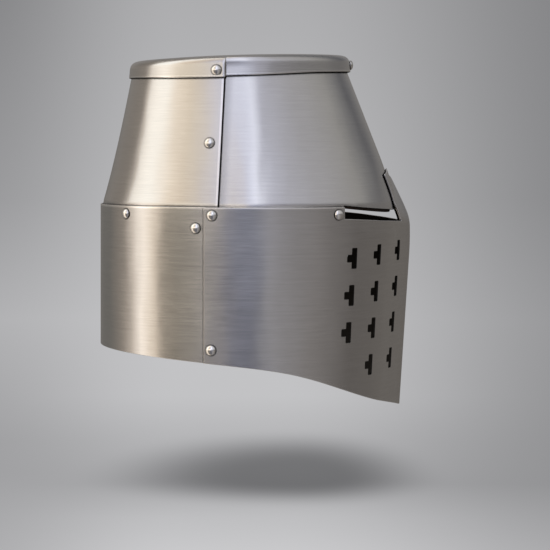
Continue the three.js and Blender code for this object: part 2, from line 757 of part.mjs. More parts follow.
function makeLiner() {
  const front = Math.PI / 2 + LINER.overrun;
  const rear = Math.PI / 2 - LINER.overrun;
  let liner = linerStrip(-front, front, linerFoot, LINER.top, 16);
  liner = liner.add(linerStrip(rear, 2 * Math.PI - rear, linerFoot, LINER.top, 16));
  const tabFoot = () => LINER.tabFoot;
  for (const { f, half } of LINER.tabs) {
    for (const { sign } of sides) {
      const spot = sign * skullTurn(f, RIVETS.bandLevel);
      const spread = half / SKULL.half;
      const tabTop = LINER.foot + LINER.tabOverlap;
      liner = liner.add(linerStrip(spot - spread, spot + spread, tabFoot, tabTop, 2));
    }
  }
  for (let i = 0; i < LINER.petals; i += 1) {
    const turn = (2 * Math.PI * i) / LINER.petals;
    liner = liner.add(toSolid(formSheet(2, 4, LEATHER, (u, v) => petalPoint(turn, u, v))));
  }
  const lace = toSolid(laceTube(LINER.laceHole, 4));
  return cutAway(liner, [lace, ...holesIn('liner')]);
}

// ---------------------------------------------------------------- chin strap

// Local frame at a strap rivet: first axis along the wall, second outward, third up the strap.
function strapFrame(side, tilt) {
  const base = onNeck(RIVETS.strap.f, RIVETS.strap.z, side);
  const outward = new THREE.Vector3(0, 1, 0).transformDirection(base);
  const up = new THREE.Vector3(0, 0, 1);
  const along = new THREE.Vector3().crossVectors(outward, up);
  const frame = new THREE.Matrix4().makeBasis(along, outward, up);
  frame.setPosition(new THREE.Vector3().setFromMatrixPosition(base));
  return frame.multiply(new THREE.Matrix4().makeRotationX(tilt));
}

// Prism with its outline in the outward-up plane, as wide as asked along the wall.
function profilePrism(shape, width) {
  const settings = { depth: width, bevelEnabled: false, curveSegments: 6 };
  const geometry = new THREE.ExtrudeGeometry(shape, settings);
  geometry.translate(0, 0, -width / 2);
  const turn = new THREE.Matrix4().makeBasis(
    new THREE.Vector3(0, 1, 0), new THREE.Vector3(0, 0, 1), new THREE.Vector3(1, 0, 0),
  );
  return toSolid(geometry.applyMatrix4(turn));
}

function box(width, depth, height, y, z) {
  const geometry = new THREE.BoxGeometry(width, depth, height);
  geometry.translate(0, y, z);
  return toSolid(geometry);
}

// Rounds the strap's upper end about the rivet.
function roundTop() {
  const half = STRAP.width / 2;
  const outline = new THREE.Shape();
  outline.moveTo(half, -2 * STRAP.hang);
  outline.lineTo(half, 0);
  outline.absarc(0, 0, half, 0, Math.PI, false);
  outline.lineTo(-half, -2 * STRAP.hang);
  const settings = { depth: 2 * STRAP.hang, bevelEnabled: false, curveSegments: 10 };
  const geometry = new THREE.ExtrudeGeometry(outline, settings);
  geometry.rotateX(Math.PI / 2);
  geometry.translate(0, STRAP.hang, 0);
  return toSolid(geometry);
}

function holeAcross(z, radius) {
  const geometry = new THREE.CylinderGeometry(radius, radius, 40, 10);
  geometry.translate(0, 0, z);
  return toSolid(geometry);
}

const legCentre = -STRAP.clear - LEATHER / 2;
const buckleLevel = -STRAP.shortHang;
const loopInner = BUCKLE.bar * Math.SQRT2 + BUCKLE.clear;

function ringShape(inner, outer, y, z) {
  const shape = new THREE.Shape();
  shape.absarc(y, z, outer, 0, 2 * Math.PI, false);
  const hole = new THREE.Path();
  hole.absarc(y, z, inner, 0, 2 * Math.PI, true);
  shape.holes.push(hole);
  return shape;
}

// The short strap loops round the buckle's bar and is stitched back on itself.
function makeShortStrap() {
  const { width, doubled, merge } = STRAP;
  const loop = profilePrism(ringShape(loopInner, loopInner + LEATHER, legCentre, buckleLevel), width);
  const start = buckleLevel + loopInner + LEATHER / 2;
  const top = width / 2;
  const leg = box(width, LEATHER, top - start, legCentre, (top + start) / 2);
  const back = box(width, LEATHER, doubled, legCentre - LEATHER + merge, start + doubled / 2);
  const slotSize = STRAP.slotShare * loopInner;
  const slot = box(STRAP.slot, slotSize, slotSize, legCentre, buckleLevel);
  return cutAway(leg.add(back).add(loop), [slot]).intersect(roundTop());
}

// The long strap hangs down, turns up on its inner side and is tucked into its keeper.
function makeLongStrap() {
  const inner = STRAP.foldGap / 2;
  const outer = inner + LEATHER;
  const middle = -STRAP.clear - outer;
  const bottom = -STRAP.hang + outer;
  const outline = new THREE.Shape();
  outline.moveTo(middle + outer, STRAP.width / 2);
  outline.lineTo(middle + inner, STRAP.width / 2);
  outline.lineTo(middle + inner, bottom);
  outline.absarc(middle, bottom, inner, 0, -Math.PI, true);
  outline.lineTo(middle - inner, STRAP.tail);
  outline.lineTo(middle - outer, STRAP.tail);
  outline.lineTo(middle - outer, bottom);
  outline.absarc(middle, bottom, outer, -Math.PI, 0, false);
  const holes = [];
  for (let i = 0; i < STRAP.holes; i += 1) {
    const hole = holeAcross(STRAP.tail - STRAP.holePitch * (i + 2), STRAP.holeRadius);
    holes.push(hole.intersect(box(STRAP.width, outer, 2 * STRAP.hang, middle - outer, -STRAP.hang)));
  }
  return cutAway(profilePrism(outline, STRAP.width), holes).intersect(roundTop());
}

function makeKeeper(stack, middle, level) {
  const wide = STRAP.width + 2 * KEEPER.gap;
  const deep = stack + 2 * KEEPER.gap;
  const outside = box(wide + 2 * KEEPER.thick, deep + 2 * KEEPER.thick, KEEPER.height, middle, level);
  return outside.subtract(box(wide, deep, 2 * KEEPER.height, middle, level));
}

function makeBuckleFrame() {
  const thick = 2 * BUCKLE.bar;
  const outer = box(BUCKLE.wide, thick, BUCKLE.tall, legCentre, buckleLevel + BUCKLE.bar - BUCKLE.tall / 2);
  const openHeight = BUCKLE.tall - 2 * thick;
  const middle = buckleLevel + BUCKLE.bar - BUCKLE.tall / 2;
  return outer.subtract(box(BUCKLE.wide - 2 * thick, 2 * thick, openHeight, legCentre, middle));
}

// The prong's eye turns on the bar and its arm rests on the inner side of the frame's lower bar.
function makeProng() {
  const eyeInner = BUCKLE.bar * Math.SQRT2 + PRONG.clear;
  const eyeOuter = eyeInner + PRONG.thick;
  const eye = profilePrism(ringShape(eyeInner, eyeOuter, legCentre, buckleLevel), PRONG.wide);
  const lower = buckleLevel + BUCKLE.bar - BUCKLE.tall - PRONG.past;
  const upper = buckleLevel - eyeInner - PRONG.neck;
  const face = legCentre - BUCKLE.bar - PRONG.bed;
  const heel = legCentre - eyeOuter + PRONG.clear;
  const arm = new THREE.Shape();
  arm.moveTo(heel, buckleLevel);
  arm.lineTo(heel, upper);
  arm.lineTo(face - PRONG.tipThick, lower);
  arm.lineTo(face, lower);
  arm.lineTo(face, lower + 3 * BUCKLE.bar);
  arm.lineTo(legCentre - eyeInner, upper);
  arm.lineTo(legCentre - eyeInner - PRONG.heel, buckleLevel);
  return eye.add(profilePrism(arm, PRONG.wide));
}

const placed = (solid, side) => solid.transform(strapFrame(side, STRAP.tilt).elements);

// ---------------------------------------------------------------- assembly

const helm = new THREE.Group();
helm.name = 'great_helm';
helm.position.z = DATUM;

function addPart(name, solid, material) {
  const mesh = new THREE.Mesh(toGeometry(solid), material);
  mesh.name = name;
  helm.add(mesh);
}

addPart('top_cap', makeCap(), brushedSteel());
addPart('rear_skull_plate', makeRearSkull(), brushedSteel());
addPart('front_skull_plate', makeFrontSkull(), brushedSteel());
addPart('rear_neck_plate', makeNeck(), brushedSteel());
addPart('front_face_plate', makeFace(), brushedSteel());
for (const { name, frame, grip, make } of rivets) {
  addPart(name, toSolid(make(grip).applyMatrix4(frame)), rivetSteel());
}
addPart('leather_liner', makeLiner(), brownLeather());
addPart('liner_lace', toSolid(laceTube(LINER.lace, 4)), cordLeather());

const strapHoles = holesIn('strap');
const shortStrap = placed(makeShortStrap(), -1);
const longStrap = placed(makeLongStrap(), 1);
addPart('chin_strap_right', cutAway(shortStrap, strapHoles), brownLeather());
addPart('chin_strap_left', cutAway(longStrap, strapHoles), brownLeather());
const foldMiddle = -STRAP.clear - LEATHER - STRAP.foldGap / 2;
const foldStack = 2 * LEATHER + STRAP.foldGap;
const rightKeeper = makeKeeper(LEATHER, legCentre, KEEPER.rightLevel);
const leftKeeper = makeKeeper(foldStack, foldMiddle, KEEPER.leftLevel);
addPart('strap_keeper_right', placed(rightKeeper, -1), brownLeather());
addPart('strap_keeper_left', placed(leftKeeper, 1), brownLeather());
addPart('buckle_frame', placed(makeBuckleFrame(), -1), buckleBrass());
addPart('buckle_prong', placed(makeProng(), -1), buckleBrass());

export default helm;
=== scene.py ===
"""Looks of the knight's great helm: every plate, rivet, liner piece and strap rebuilt at fine resolution
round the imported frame, with brushed steel, leather and brass materials and a pale studio."""
import math
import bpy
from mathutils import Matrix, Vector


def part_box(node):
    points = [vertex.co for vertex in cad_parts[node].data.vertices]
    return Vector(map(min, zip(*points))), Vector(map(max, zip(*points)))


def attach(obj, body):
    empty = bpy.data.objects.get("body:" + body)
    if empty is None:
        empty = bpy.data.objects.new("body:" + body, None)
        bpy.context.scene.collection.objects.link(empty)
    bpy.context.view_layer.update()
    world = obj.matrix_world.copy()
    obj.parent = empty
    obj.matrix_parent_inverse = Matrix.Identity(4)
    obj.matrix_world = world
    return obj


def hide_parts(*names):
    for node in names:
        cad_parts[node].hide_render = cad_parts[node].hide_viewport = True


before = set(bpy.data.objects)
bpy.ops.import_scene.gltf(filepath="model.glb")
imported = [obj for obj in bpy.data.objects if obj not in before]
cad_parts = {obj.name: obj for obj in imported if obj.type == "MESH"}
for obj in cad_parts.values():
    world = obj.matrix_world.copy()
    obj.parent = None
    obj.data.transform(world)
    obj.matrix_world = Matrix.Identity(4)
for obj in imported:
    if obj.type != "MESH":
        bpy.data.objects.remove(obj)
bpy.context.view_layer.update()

from types import SimpleNamespace as Named

import bpy
import numpy as np
from mathutils import Vector
from mathutils.geometry import delaunay_2d_cdt

MM = 0.001
SHELL = "shell"

# ---------------------------------------------------------------- sizes from the frame, in millimetres


def box_mm(node):
    low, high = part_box(node)
    return np.array(low) / MM, np.array(high) / MM


face_high = box_mm("front_face_plate")[1]
neck_low, neck_high = box_mm("rear_neck_plate")
cap_low, cap_high = box_mm("top_cap")

PLATE = 1.6
BEVEL = 0.42                                   # how far a plate's edges are rounded
LAP_GAP = 0.4
LAP = PLATE + LAP_GAP
BAR_TIP = 203.5                                # height of the brow bar's tip above the datum
DATUM = face_high[2] - BAR_TIP                 # the datum of all heights below, above the lowest point

FACE = Named(half=face_high[0], rear=neck_high[1] + LAP, top=172.8, rear_edge=-face_high[1])
NECK = Named(half=face_high[0] - LAP, rear=neck_high[1], top=neck_high[2] - DATUM, foot=45,
             front_edge=-neck_low[1])
KEEL = Named(reach=135.75, lean=0.066, facet=40, bend=160, bend_width=8, bend_slope=0.56, level=150,
             round=1.6)
HEM = Named(rear=52.76, fall=0.0587, drop_start=36.6, drop_width=37.6, drop_slope=0.4264)
BAR = Named(foot=17, head=28, crease=196, flat=198, corner=199, fade=45, flare=6, slope_loss=0.0055)
SLIT = Named(rear=75, foot=158.6, middle=160.2, middle_side=50, end=163, end_side=82,
             brow_end=173.6, brow_front=165.1, brow_setback=0.7, far=150)
SKULL = Named(top=282, depth=107, foot=150, rear=108.2, rear_taper=0.2, rear_flare=2.5e-6,
              front=82.1, front_taper=0.39, brow_turn=66, brow_curve=0.0021, brow_depth=118,
              half=77, half_taper=0.165, half_flare=2.2e-6, centre=-13.3, squareness=0.12)
SEAM = Named(at_band=-30, rise=0.0455, lap=14, band_level=172, start=3, blend=34)
CAP = Named(rear=cap_high[1], front=-cap_low[1], half=cap_high[0], flange=14, fold=6, rim_rear=282,
            rim_rise=5.7, rim_sag=4.2, crown_height=16.7, blank=100, core=12, level=15, blend=45,
            plate_up=8, step_in=1.5, step_f=-24.6, step_width=0.9, step_fade=40, lean=0.1, columns=200,
            burr=0.3, burr_behind=1.5, burr_width=2, hold=0.4, trim=0.8, trim_fade=(68, 112), lip=1.3,
            insets=(8, 10, 12, 15, 19, 24, 30, 37, 45, 54, 63, 72, 80, 88, 94, 98),
            step_columns=(-4, -3, -2.2, -1.6, -1, -0.5, 0, 0.3, 0.6, 0.9, 1.2, 1.6, 2.2, 3, 4))
BREATH = Named(height=16.6, bar=4.9, stub=4.8, stub_height=5.6, pitch=30.7, lean=0.082, row_rise=1.8,
               top_row=130, corner=0.7, columns=((83, 3), (104.5, 4), (123.1, 4)))
RIVET = Named(head=4.25, rise=2.9, lip=0.5, seat=-0.1, shank=2.0, hole=2.3, tail=3.1, tail_height=1.2,
              under=0.05, nick=0.02)           # the nicks keep the corners of a turned outline apart
RIVETS = Named(                                # f is forward of the middle, z up; grip is head to tail
    cap_up=6, cap_front=Named(grip=8), cap_side=Named(f=-31.6, grip=8.6),
    seam=Named(z=225.8, behind=9.5, grip=2 * LAP),
    band=166.5, band_rear=Named(f=-108, grip=10.2), band_side=Named(f=-34.6, grip=12.2),
    band_front=Named(f=69.8, grip=11), strap=Named(f=-48.1, z=155.9, grip=10.8),
    hem=Named(f=-35.4, z=56.3, grip=2 * LAP),
    brow=Named(z=200.6, grip=5.4, head=3.3, countersink=1.28, below=0.05, chamfer=0.3, drop=0.1),
)

# ---------------------------------------------------------------- small mathematics


def smooth(low, high, value):
    share = np.clip((value - low) / (high - low), 0, 1)
    return share * share * (3 - 2 * share)


def mix(start, end, share):
    return start + (end - start) * share


def ramp(value, start, width, slope):
    past = value - start
    return 0.5 * slope * (np.hypot(past, width) + past)


def place(x, f, z):
    """Row-frame points in millimetres from: across, forward of the middle, above the datum."""
    x, f, z = np.broadcast_arrays(x, f, z)
    return np.stack([x, -f, z + DATUM], axis=-1)


STEP = 0.05                                    # how far apart a surface is sampled for its slopes
TURN_STEP = 1e-3


def unit(vectors):
    return vectors / np.linalg.norm(vectors, axis=-1, keepdims=True)


def normals(surface, s, t, step=STEP):
    """Outward normals of a surface whose first coordinate runs to the wearer's left and second runs up."""
    along = surface(s + step, t) - surface(s - step, t)
    up = surface(s, t + STEP) - surface(s, t - STEP)
    return unit(np.cross(along, up))


def forward(points):
    return -points[..., 1]


def arc(centre, radius, start, end, count):
    """Points evenly spaced on an arc, with both its ends."""
    angles = np.linspace(start, end, count)
    return [(centre[0] + radius * math.cos(a), centre[1] + radius * math.sin(a)) for a in angles]


def circle(centre, radius, count):
    return np.array(arc(centre, radius, 0, 2 * math.pi, count + 1)[:-1])


def lead(path, end, count):
    """Adds evenly spaced points to a path, from its last point to a new end."""
    start = np.array(path[-1], float)
    path += [tuple(mix(start, np.array(end), share)) for share in np.linspace(0, 1, count)[1:]]


# ---------------------------------------------------------------- skull surface


def skull_oval(z):
    depth = np.minimum(SKULL.top - z, SKULL.depth)
    share = np.maximum(depth, 0) / SKULL.depth
    brow_depth = np.minimum(SKULL.top - z, SKULL.brow_depth)
    turn = np.maximum(brow_depth - SKULL.brow_turn, 0)
    return Named(
        centre=SKULL.centre * (1 - share),
        rear=SKULL.rear + SKULL.rear_taper * depth + SKULL.rear_flare * depth ** 3,
        front=SKULL.front + SKULL.front_taper * brow_depth - SKULL.brow_curve * turn ** 2,
        half=SKULL.half + SKULL.half_taper * depth + SKULL.half_flare * depth ** 3,
        power=2 / (2 + SKULL.squareness * share),
    )


def skull_point(turn, z):
    """Outer skull surface; turn is 0 at the front and grows towards the wearer's left."""
    oval = skull_oval(z)
    across, ahead = np.sin(turn), np.cos(turn)
    in_front = ahead >= 0
    power = np.where(in_front, oval.power, 1.0)
    x = oval.half * np.sign(across) * np.abs(across) ** power
    reach = np.where(in_front, oval.front - oval.centre, oval.rear + oval.centre)
    return place(x, oval.centre + reach * np.sign(ahead) * np.abs(ahead) ** power, z)


def skull_turn(f, z):
    oval = skull_oval(z)
    if f < oval.centre:
        return math.acos((f - oval.centre) / (oval.rear + oval.centre))
    return math.acos(((f - oval.centre) / (oval.front - oval.centre)) ** (1 / oval.power))


def skull_front(x, z):
    """How far forward the skull's outer surface lies near the middle."""
    oval = skull_oval(z)
    across = np.abs(x) / oval.half
    ahead = (1 - across ** (2 / oval.power)) ** (oval.power / 2)
    return oval.centre + (oval.front - oval.centre) * ahead


def seam_forward(z):
    return SEAM.at_band + SEAM.rise * np.maximum(z - SEAM.band_level, 0)


cap_middle = (CAP.front - CAP.rear) / 2
cap_length = (CAP.front + CAP.rear) / 2


def cap_along(f):
    return (f - cap_middle) / cap_length


def cap_plane(f):
    return CAP.rim_rear + 0.5 * CAP.rim_rise * (1 + cap_along(f))


def rim_level(f):
    return cap_plane(f) - CAP.rim_sag * (1 - cap_along(f) ** 2)


# ---------------------------------------------------------------- lower band surface

facet_sine = KEEL.facet / FACE.half
facet_cosine = math.sqrt(1 - facet_sine ** 2)
facet_turn = math.asin(facet_sine)


def straight_keel(z):
    return KEEL.reach - KEEL.lean * (KEEL.level - z)


def keel_forward(z):
    return straight_keel(z) - ramp(z, KEEL.bend, KEEL.bend_width, KEEL.bend_slope)


def face_reach(z):
    return straight_keel(np.minimum(z, KEEL.level)) * facet_cosine


def facet_slope(z):
    return face_reach(z) / FACE.half * facet_sine / facet_cosine


def hem_level(f):
    return HEM.rear - HEM.fall * (f + NECK.rear) - ramp(f, HEM.drop_start, HEM.drop_width, HEM.drop_slope)


def rounded(x):
    """Distance from the middle, with the crease's point rounded off."""
    return np.hypot(x, KEEL.round) - KEEL.round * np.exp(-(x / (3 * KEEL.round)) ** 2)


def bent_forward(x, z, flat):
    """Bends the middle of the face plate back above the eyes, and rests its tip on the skull."""
    side = np.abs(x)
    flare = (BAR.head - BAR.foot) * smooth(SLIT.foot - BAR.flare, SLIT.foot + BAR.flare, z)
    weight = (1 - smooth(BAR.foot + flare, BAR.fade + flare, side)) * smooth(BREATH.top_row, KEEL.level, z)
    rest = skull_front(np.minimum(side, BAR.fade), z) + LAP + LAP_GAP / 2
    slope = facet_slope(z) - BAR.slope_loss * np.maximum(z - KEEL.level, 0)
    creased = np.maximum(keel_forward(z) - slope * rounded(x), rest)
    flattened = mix(creased, rest, smooth(BAR.crease, BAR.flat, z))
    return mix(flat, flattened, weight)


def face_point(turn, z):
    across, ahead = np.sin(turn), np.cos(turn)
    on_facet = np.abs(turn) < facet_turn
    x = np.where(on_facet, KEEL.facet * turn / facet_turn, FACE.half * across)
    flat = face_reach(z) / facet_cosine - facet_slope(z) * rounded(x)
    curved = face_reach(z) * ahead
    in_front = bent_forward(x, z, np.where(on_facet, flat, curved))
    return place(x, np.where(ahead < 0, FACE.rear * ahead, in_front), z)


def neck_point(turn, z):
    return place(NECK.half * np.sin(turn), NECK.rear * np.cos(turn), z)


def face_turn(f, z):
    reach = face_reach(z)
    if f < 0:
        return math.acos(f / FACE.rear)
    if f < reach * facet_cosine:
        return math.acos(f / reach)
    return facet_turn * (reach / facet_cosine - f) / facet_slope(z) / KEEL.facet


def arc_table(point, low, high, level):
    """Turn as a function of the length along a plate's outline at one level, and the reverse."""
    turns = np.linspace(low, high, ARC.samples)
    lengths = path_lengths(point(turns, level))
    lengths = lengths - np.interp(0.5 * (low + high), turns, lengths)
    return Named(
        turn=lambda s: np.interp(s, lengths, turns),
        length=lambda turn: np.interp(turn, turns, lengths),
    )


def path_lengths(points):
    """Length along a path from its start to each of its points."""
    return np.concatenate([[0], np.cumsum(np.linalg.norm(np.diff(points, axis=0), axis=1))])


# ---------------------------------------------------------------- sheet building

OUTSIDE, EDGE, INSIDE = 0, 1, 2                # which finish a face takes


def signed_area(loop):
    x, y = loop.T
    return 0.5 * np.sum(x * np.roll(y, -1) - np.roll(x, -1) * y)


def inward_normals(loop, solid_inside):
    """Mitred unit offsets that point into the material, for a closed loop of points."""
    before = unit(loop - np.roll(loop, 1, axis=0))
    after = unit(np.roll(loop, -1, axis=0) - loop)
    side = 1 if (signed_area(loop) > 0) == solid_inside else -1
    left_before, left_after = (np.stack([-way[:, 1], way[:, 0]], axis=1) * side for way in (before, after))
    mitre = left_before + left_after
    sharpest = 0.35                            # limits how far a sharp corner's offset reaches
    return mitre / np.maximum(np.sum(mitre * left_before, axis=1), sharpest)[:, None]


def inside(points, loop):
    x, y = points[:, 0][:, None], points[:, 1][:, None]
    ax, ay = loop.T[:, None]
    bx, by = np.roll(loop, -1, axis=0).T[:, None]
    crosses = (ay > y) != (by > y)
    with np.errstate(divide="ignore", invalid="ignore"):
        at = (bx - ax) * (y - ay) / (by - ay) + ax
    return (np.sum(crosses & (x < at), axis=1) % 2) == 1


def within(points, loops):
    """Which points lie inside the first loop and outside the others, which are its holes."""
    kept = inside(points, loops[0])
    for loop in loops[1:]:
        close = np.abs(points - loop.mean(axis=0)).max(axis=1) < np.ptp(loop, axis=0).max()
        kept[close] &= ~inside(points[close], loop)
    return kept


NEAR_BATCH = 2000                              # points that near_loop measures at a time
TINY = 1e-12                                   # keeps a division by a zero length from failing


def near_loop(points, loop, distance):
    """Which points lie within a distance of a closed loop's edges."""
    edge = np.roll(loop, -1, axis=0) - loop
    size = np.maximum(np.sum(edge ** 2, axis=1), TINY)
    hit = np.zeros(len(points), bool)
    for first in range(0, len(points), NEAR_BATCH):
        batch = slice(first, first + NEAR_BATCH)
        reach = points[batch, None, :] - loop
        share = np.clip(np.sum(reach * edge, axis=2) / size, 0, 1)
        hit[batch] = np.linalg.norm(reach - share[..., None] * edge, axis=2).min(axis=1) < distance
    return hit


def divided(corners, spacing):
    """Closed polygon with points no further apart than the spacing."""
    points = []
    for start, end in zip(corners, np.roll(corners, -1, axis=0)):
        count = max(1, math.ceil(np.linalg.norm(end - start) / spacing))
        points += [mix(start, end, i / count) for i in range(count)]
    return np.array(points)


def distinct(loop):
    """Closed loop without points that repeat the one before them."""
    loop = np.asarray(loop, float)
    gaps = np.linalg.norm(loop - np.roll(loop, 1, axis=0), axis=1)
    return loop[gaps > STEP]


CLEARANCE = 0.4                                # share of the grid's spacing kept free along a cut
CDT_TOLERANCE = 1e-7                           # distance at which the triangulation merges points


def sheet(outline, holes, surface, thickness, columns, rows, edge=BEVEL):
    """A sheet of even thickness, cut to its outline with its holes, with rounded edges.

    The outline and holes lie on the flat blank; surface(s, t) gives the formed outer face."""
    loops = [distinct(loop) for loop in (outline, *holes)]
    offsets = [inward_normals(loop, index == 0) for index, loop in enumerate(loops)]
    trimmed = [loop + edge * offset for loop, offset in zip(loops, offsets)]
    grid = np.stack(np.meshgrid(columns, rows), axis=-1).reshape(-1, 2)
    keep = within(grid, trimmed)
    spacing = min(np.median(np.diff(columns)), np.median(np.diff(rows)))
    edges, first = [], 0
    for loop in trimmed:
        keep &= ~near_loop(grid, loop, CLEARANCE * spacing)
        count = len(loop)
        edges += [(first + i, first + (i + 1) % count) for i in range(count)]
        first += count
    flat = [Vector(point) for point in np.concatenate(trimmed + [grid[keep]])]
    coords, _, triangles, sources = delaunay_2d_cdt(flat, edges, [], 0, CDT_TOLERANCE)[:4]
    coords, triangles = np.array([tuple(point) for point in coords]), np.array(triangles)
    triangles = triangles[within(coords[triangles].mean(axis=1), trimmed)]
    new_index = {source: index for index, merged in enumerate(sources) for source in merged}
    return solid_from_flat(coords, triangles, loops, offsets, new_index, surface, thickness, edge)


def formed(surface, flat, depth):
    return surface(*flat.T) - depth * normals(surface, *flat.T)


def solid_from_flat(coords, triangles, loops, offsets, new_index, surface, thickness, edge):
    """Gives a triangulated blank its thickness, and closes it with a rounded wall along each loop."""
    used = np.unique(triangles)
    renumber = np.full(len(coords), -1)
    renumber[used] = np.arange(len(used))
    coords, triangles = coords[used], renumber[triangles]
    count = len(coords)
    outward = normals(surface, *coords.T)
    vertices = [formed(surface, coords, 0.0), formed(surface, coords, thickness)]
    directions = [outward, -outward]
    faces = [tuple(face) for face in triangles]
    faces += [tuple(face[::-1] + count) for face in triangles]
    finish = [OUTSIDE] * len(triangles) + [INSIDE] * len(triangles)
    corner = edge * (1 - math.sqrt(0.5))
    stations = [(corner, corner, 1), (0, edge, 0), (0, thickness - edge, 0),
                (corner, thickness - corner, -1)]
    total, first = 2 * count, 0
    for index, (loop, offset) in enumerate(zip(loops, offsets)):
        size = len(loop)
        outer = [renumber[new_index[first + i]] for i in range(size)]
        face_out = normals(surface, *loop.T)
        rim_out = unit(surface(*loop.T) - surface(*(loop + STEP * offset).T))
        rings = [outer]
        for inset, depth, lift in stations:
            vertices.append(formed(surface, loop + inset * offset, depth))
            directions.append(unit(lift * face_out + rim_out))
            rings.append(range(total, total + size))
            total += size
        rings.append([i + count for i in outer])
        ahead = (signed_area(loop) > 0) == (index == 0)
        for upper, lower in zip(rings, rings[1:]):
            for i in range(size):
                quad = (upper[(i + 1) % size], upper[i], lower[i], lower[(i + 1) % size])
                faces.append(quad if ahead else quad[::-1])
                finish.append(EDGE if index == 0 else INSIDE)
        first += size
    return Named(vertices=np.concatenate(vertices), faces=faces, finish=finish,
                 normals=np.concatenate(directions))


def piece(node_name, parts, materials, body, ending="_fine"):
    """One shown object made of closed parts, which stands for a CAD node."""
    faces, finish, count = [], [], 0
    for part in parts:
        faces += [tuple(int(i) + count for i in face) for face in part.faces]
        finish += part.finish
        count += len(part.vertices)
    shown = node_name + ending
    mesh = bpy.data.meshes.new(shown)
    mesh.from_pydata((np.concatenate([part.vertices for part in parts]) * MM).tolist(), [], faces)
    for material in materials:
        mesh.materials.append(material)
    mesh.polygons.foreach_set("use_smooth", [True] * len(faces))
    mesh.polygons.foreach_set("material_index", [min(index, len(materials) - 1) for index in finish])
    mesh.normals_split_custom_set_from_vertices(np.concatenate([part.normals for part in parts]).tolist())
    mesh.update()
    made = bpy.data.objects.new(shown, mesh)
    bpy.context.scene.collection.objects.link(made)
    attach(made, body)
    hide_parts(node_name)


# ---------------------------------------------------------------- plates

GRID = 3.0                                     # spacing of a plate's inner points
CUT = 1.5                                      # spacing of points along cuts
SPARE = 30                                     # how far the columns run past a skull plate's foot
# Arc tables: how far past a plate's ends each one runs, in turn, and the level that it is measured at.
ARC = Named(samples=2001, face=0.1, neck=0.2, skull=0.3, liner=0.2, front_skull=2.8, skull_level=225.0,
            liner_level=190.0)


def mirrored(half):
    """Closed outline from its half on the wearer's left, which starts and ends in the middle."""
    other = [(-s, t) for s, t in half[::-1] if abs(s) > STEP]
    return np.array(list(half) + other)


def columns_to(reach, *near):
    side = np.concatenate([near, np.arange(near[-1] + GRID, reach, GRID)])
    return np.concatenate([-side[::-1], [0.0], side])


def rows_to(low, high):
    return np.arange(low, high, GRID)


rear_turn = face_turn(FACE.rear_edge, KEEL.level)
face_arc = arc_table(face_point, -rear_turn - ARC.face, rear_turn + ARC.face, KEEL.level)


def face_surface(s, t):
    return face_point(face_arc.turn(s), t)


def face_hem(turn):
    guess = hem_level(forward(face_point(turn, 0.0)))
    return hem_level(forward(face_point(turn, guess)))


def face_outline():
    rear = face_arc.length(rear_turn)
    slit = face_arc.length(face_turn(SLIT.rear, SLIT.end))
    foot, head = (face_arc.length(facet_turn * x / KEEL.facet) for x in (BAR.foot, BAR.head))
    half = [(s, face_hem(face_arc.turn(s))) for s in np.linspace(0, rear, 90)]
    lead(half, (rear, FACE.top), 60)
    lead(half, (slit, FACE.top), 70)
    lead(half, (slit, SLIT.end), 9)
    half.pop()
    for s in np.linspace(slit, foot, 60):
        x = abs(face_point(face_arc.turn(s), SLIT.end)[0])
        z = np.interp(x, [BAR.foot, SLIT.middle_side, SLIT.end_side], [SLIT.foot, SLIT.middle, SLIT.end])
        half.append((s, z))
    lead(half, (head, BAR.corner), 36)
    lead(half, (0, BAR_TIP), 14)
    return mirrored(half)


def softened(corners, radius, count=4):
    """Polygon with its corners rounded off."""
    corners = np.array(corners, float)
    points = []
    for before, corner, after in zip(np.roll(corners, 1, axis=0), corners, np.roll(corners, -1, axis=0)):
        start = corner + radius * unit(before - corner)
        end = corner + radius * unit(after - corner)
        for share in np.linspace(0, 1, count):
            points.append(mix(mix(start, corner, share), mix(corner, end, share), share))
    return np.array(points)


def breath_holes():
    half, tall, stub = BREATH.bar / 2, BREATH.height / 2, BREATH.stub_height / 2
    shape = [(half, -tall), (half, tall), (-half, tall), (-half, stub), (-half - BREATH.stub, stub),
             (-half - BREATH.stub, -stub), (-half, -stub), (-half, -tall)]
    holes = []
    for index, (column, rows) in enumerate(BREATH.columns):
        for row in range(rows):
            z = BREATH.top_row + BREATH.row_rise * index - BREATH.pitch * row
            s = face_arc.length(face_turn(column + BREATH.lean * (z - BREATH.top_row), z))
            for side in (-1, 1):
                corners = [(side * (s - ahead), z + up) for ahead, up in shape]
                holes.append(divided(softened(corners, BREATH.corner), CUT))
    return holes


def face_sheet():
    rows = np.concatenate([rows_to(-2, KEEL.level), np.arange(KEEL.level, BAR_TIP, CUT)])
    columns = columns_to(face_arc.length(rear_turn), 0.7, 1.5, 2.5, 4.0)
    return sheet(face_outline(), breath_holes(), face_surface, PLATE, columns, rows)


neck_edge = math.acos(NECK.front_edge / NECK.rear)
neck_arc = arc_table(neck_point, neck_edge - ARC.neck, 2 * math.pi - neck_edge + ARC.neck, 0.0)


def neck_surface(s, t):
    return neck_point(neck_arc.turn(s), t)


def neck_sheet():
    reach = neck_arc.length(2 * math.pi - neck_edge)
    half = [(s, hem_level(NECK.rear * math.cos(neck_arc.turn(s)))) for s in np.linspace(0, reach, 80)]
    lead(half, (reach, NECK.top), 50)
    lead(half, (0, NECK.top), 80)
    rows = rows_to(NECK.foot, NECK.top)
    return sheet(mirrored(half), [], neck_surface, PLATE, columns_to(reach, GRID), rows)


def skull_normals(turn, z):
    return normals(skull_point, turn, z, TURN_STEP)


def skull_top(turn):
    return rim_level(forward(skull_point(turn, SKULL.top))) + CAP.plate_up


rear_skull_arc = arc_table(skull_point, -ARC.skull, 2 * math.pi + ARC.skull, ARC.skull_level)
front_skull_arc = arc_table(skull_point, -ARC.front_skull, ARC.front_skull, ARC.skull_level)


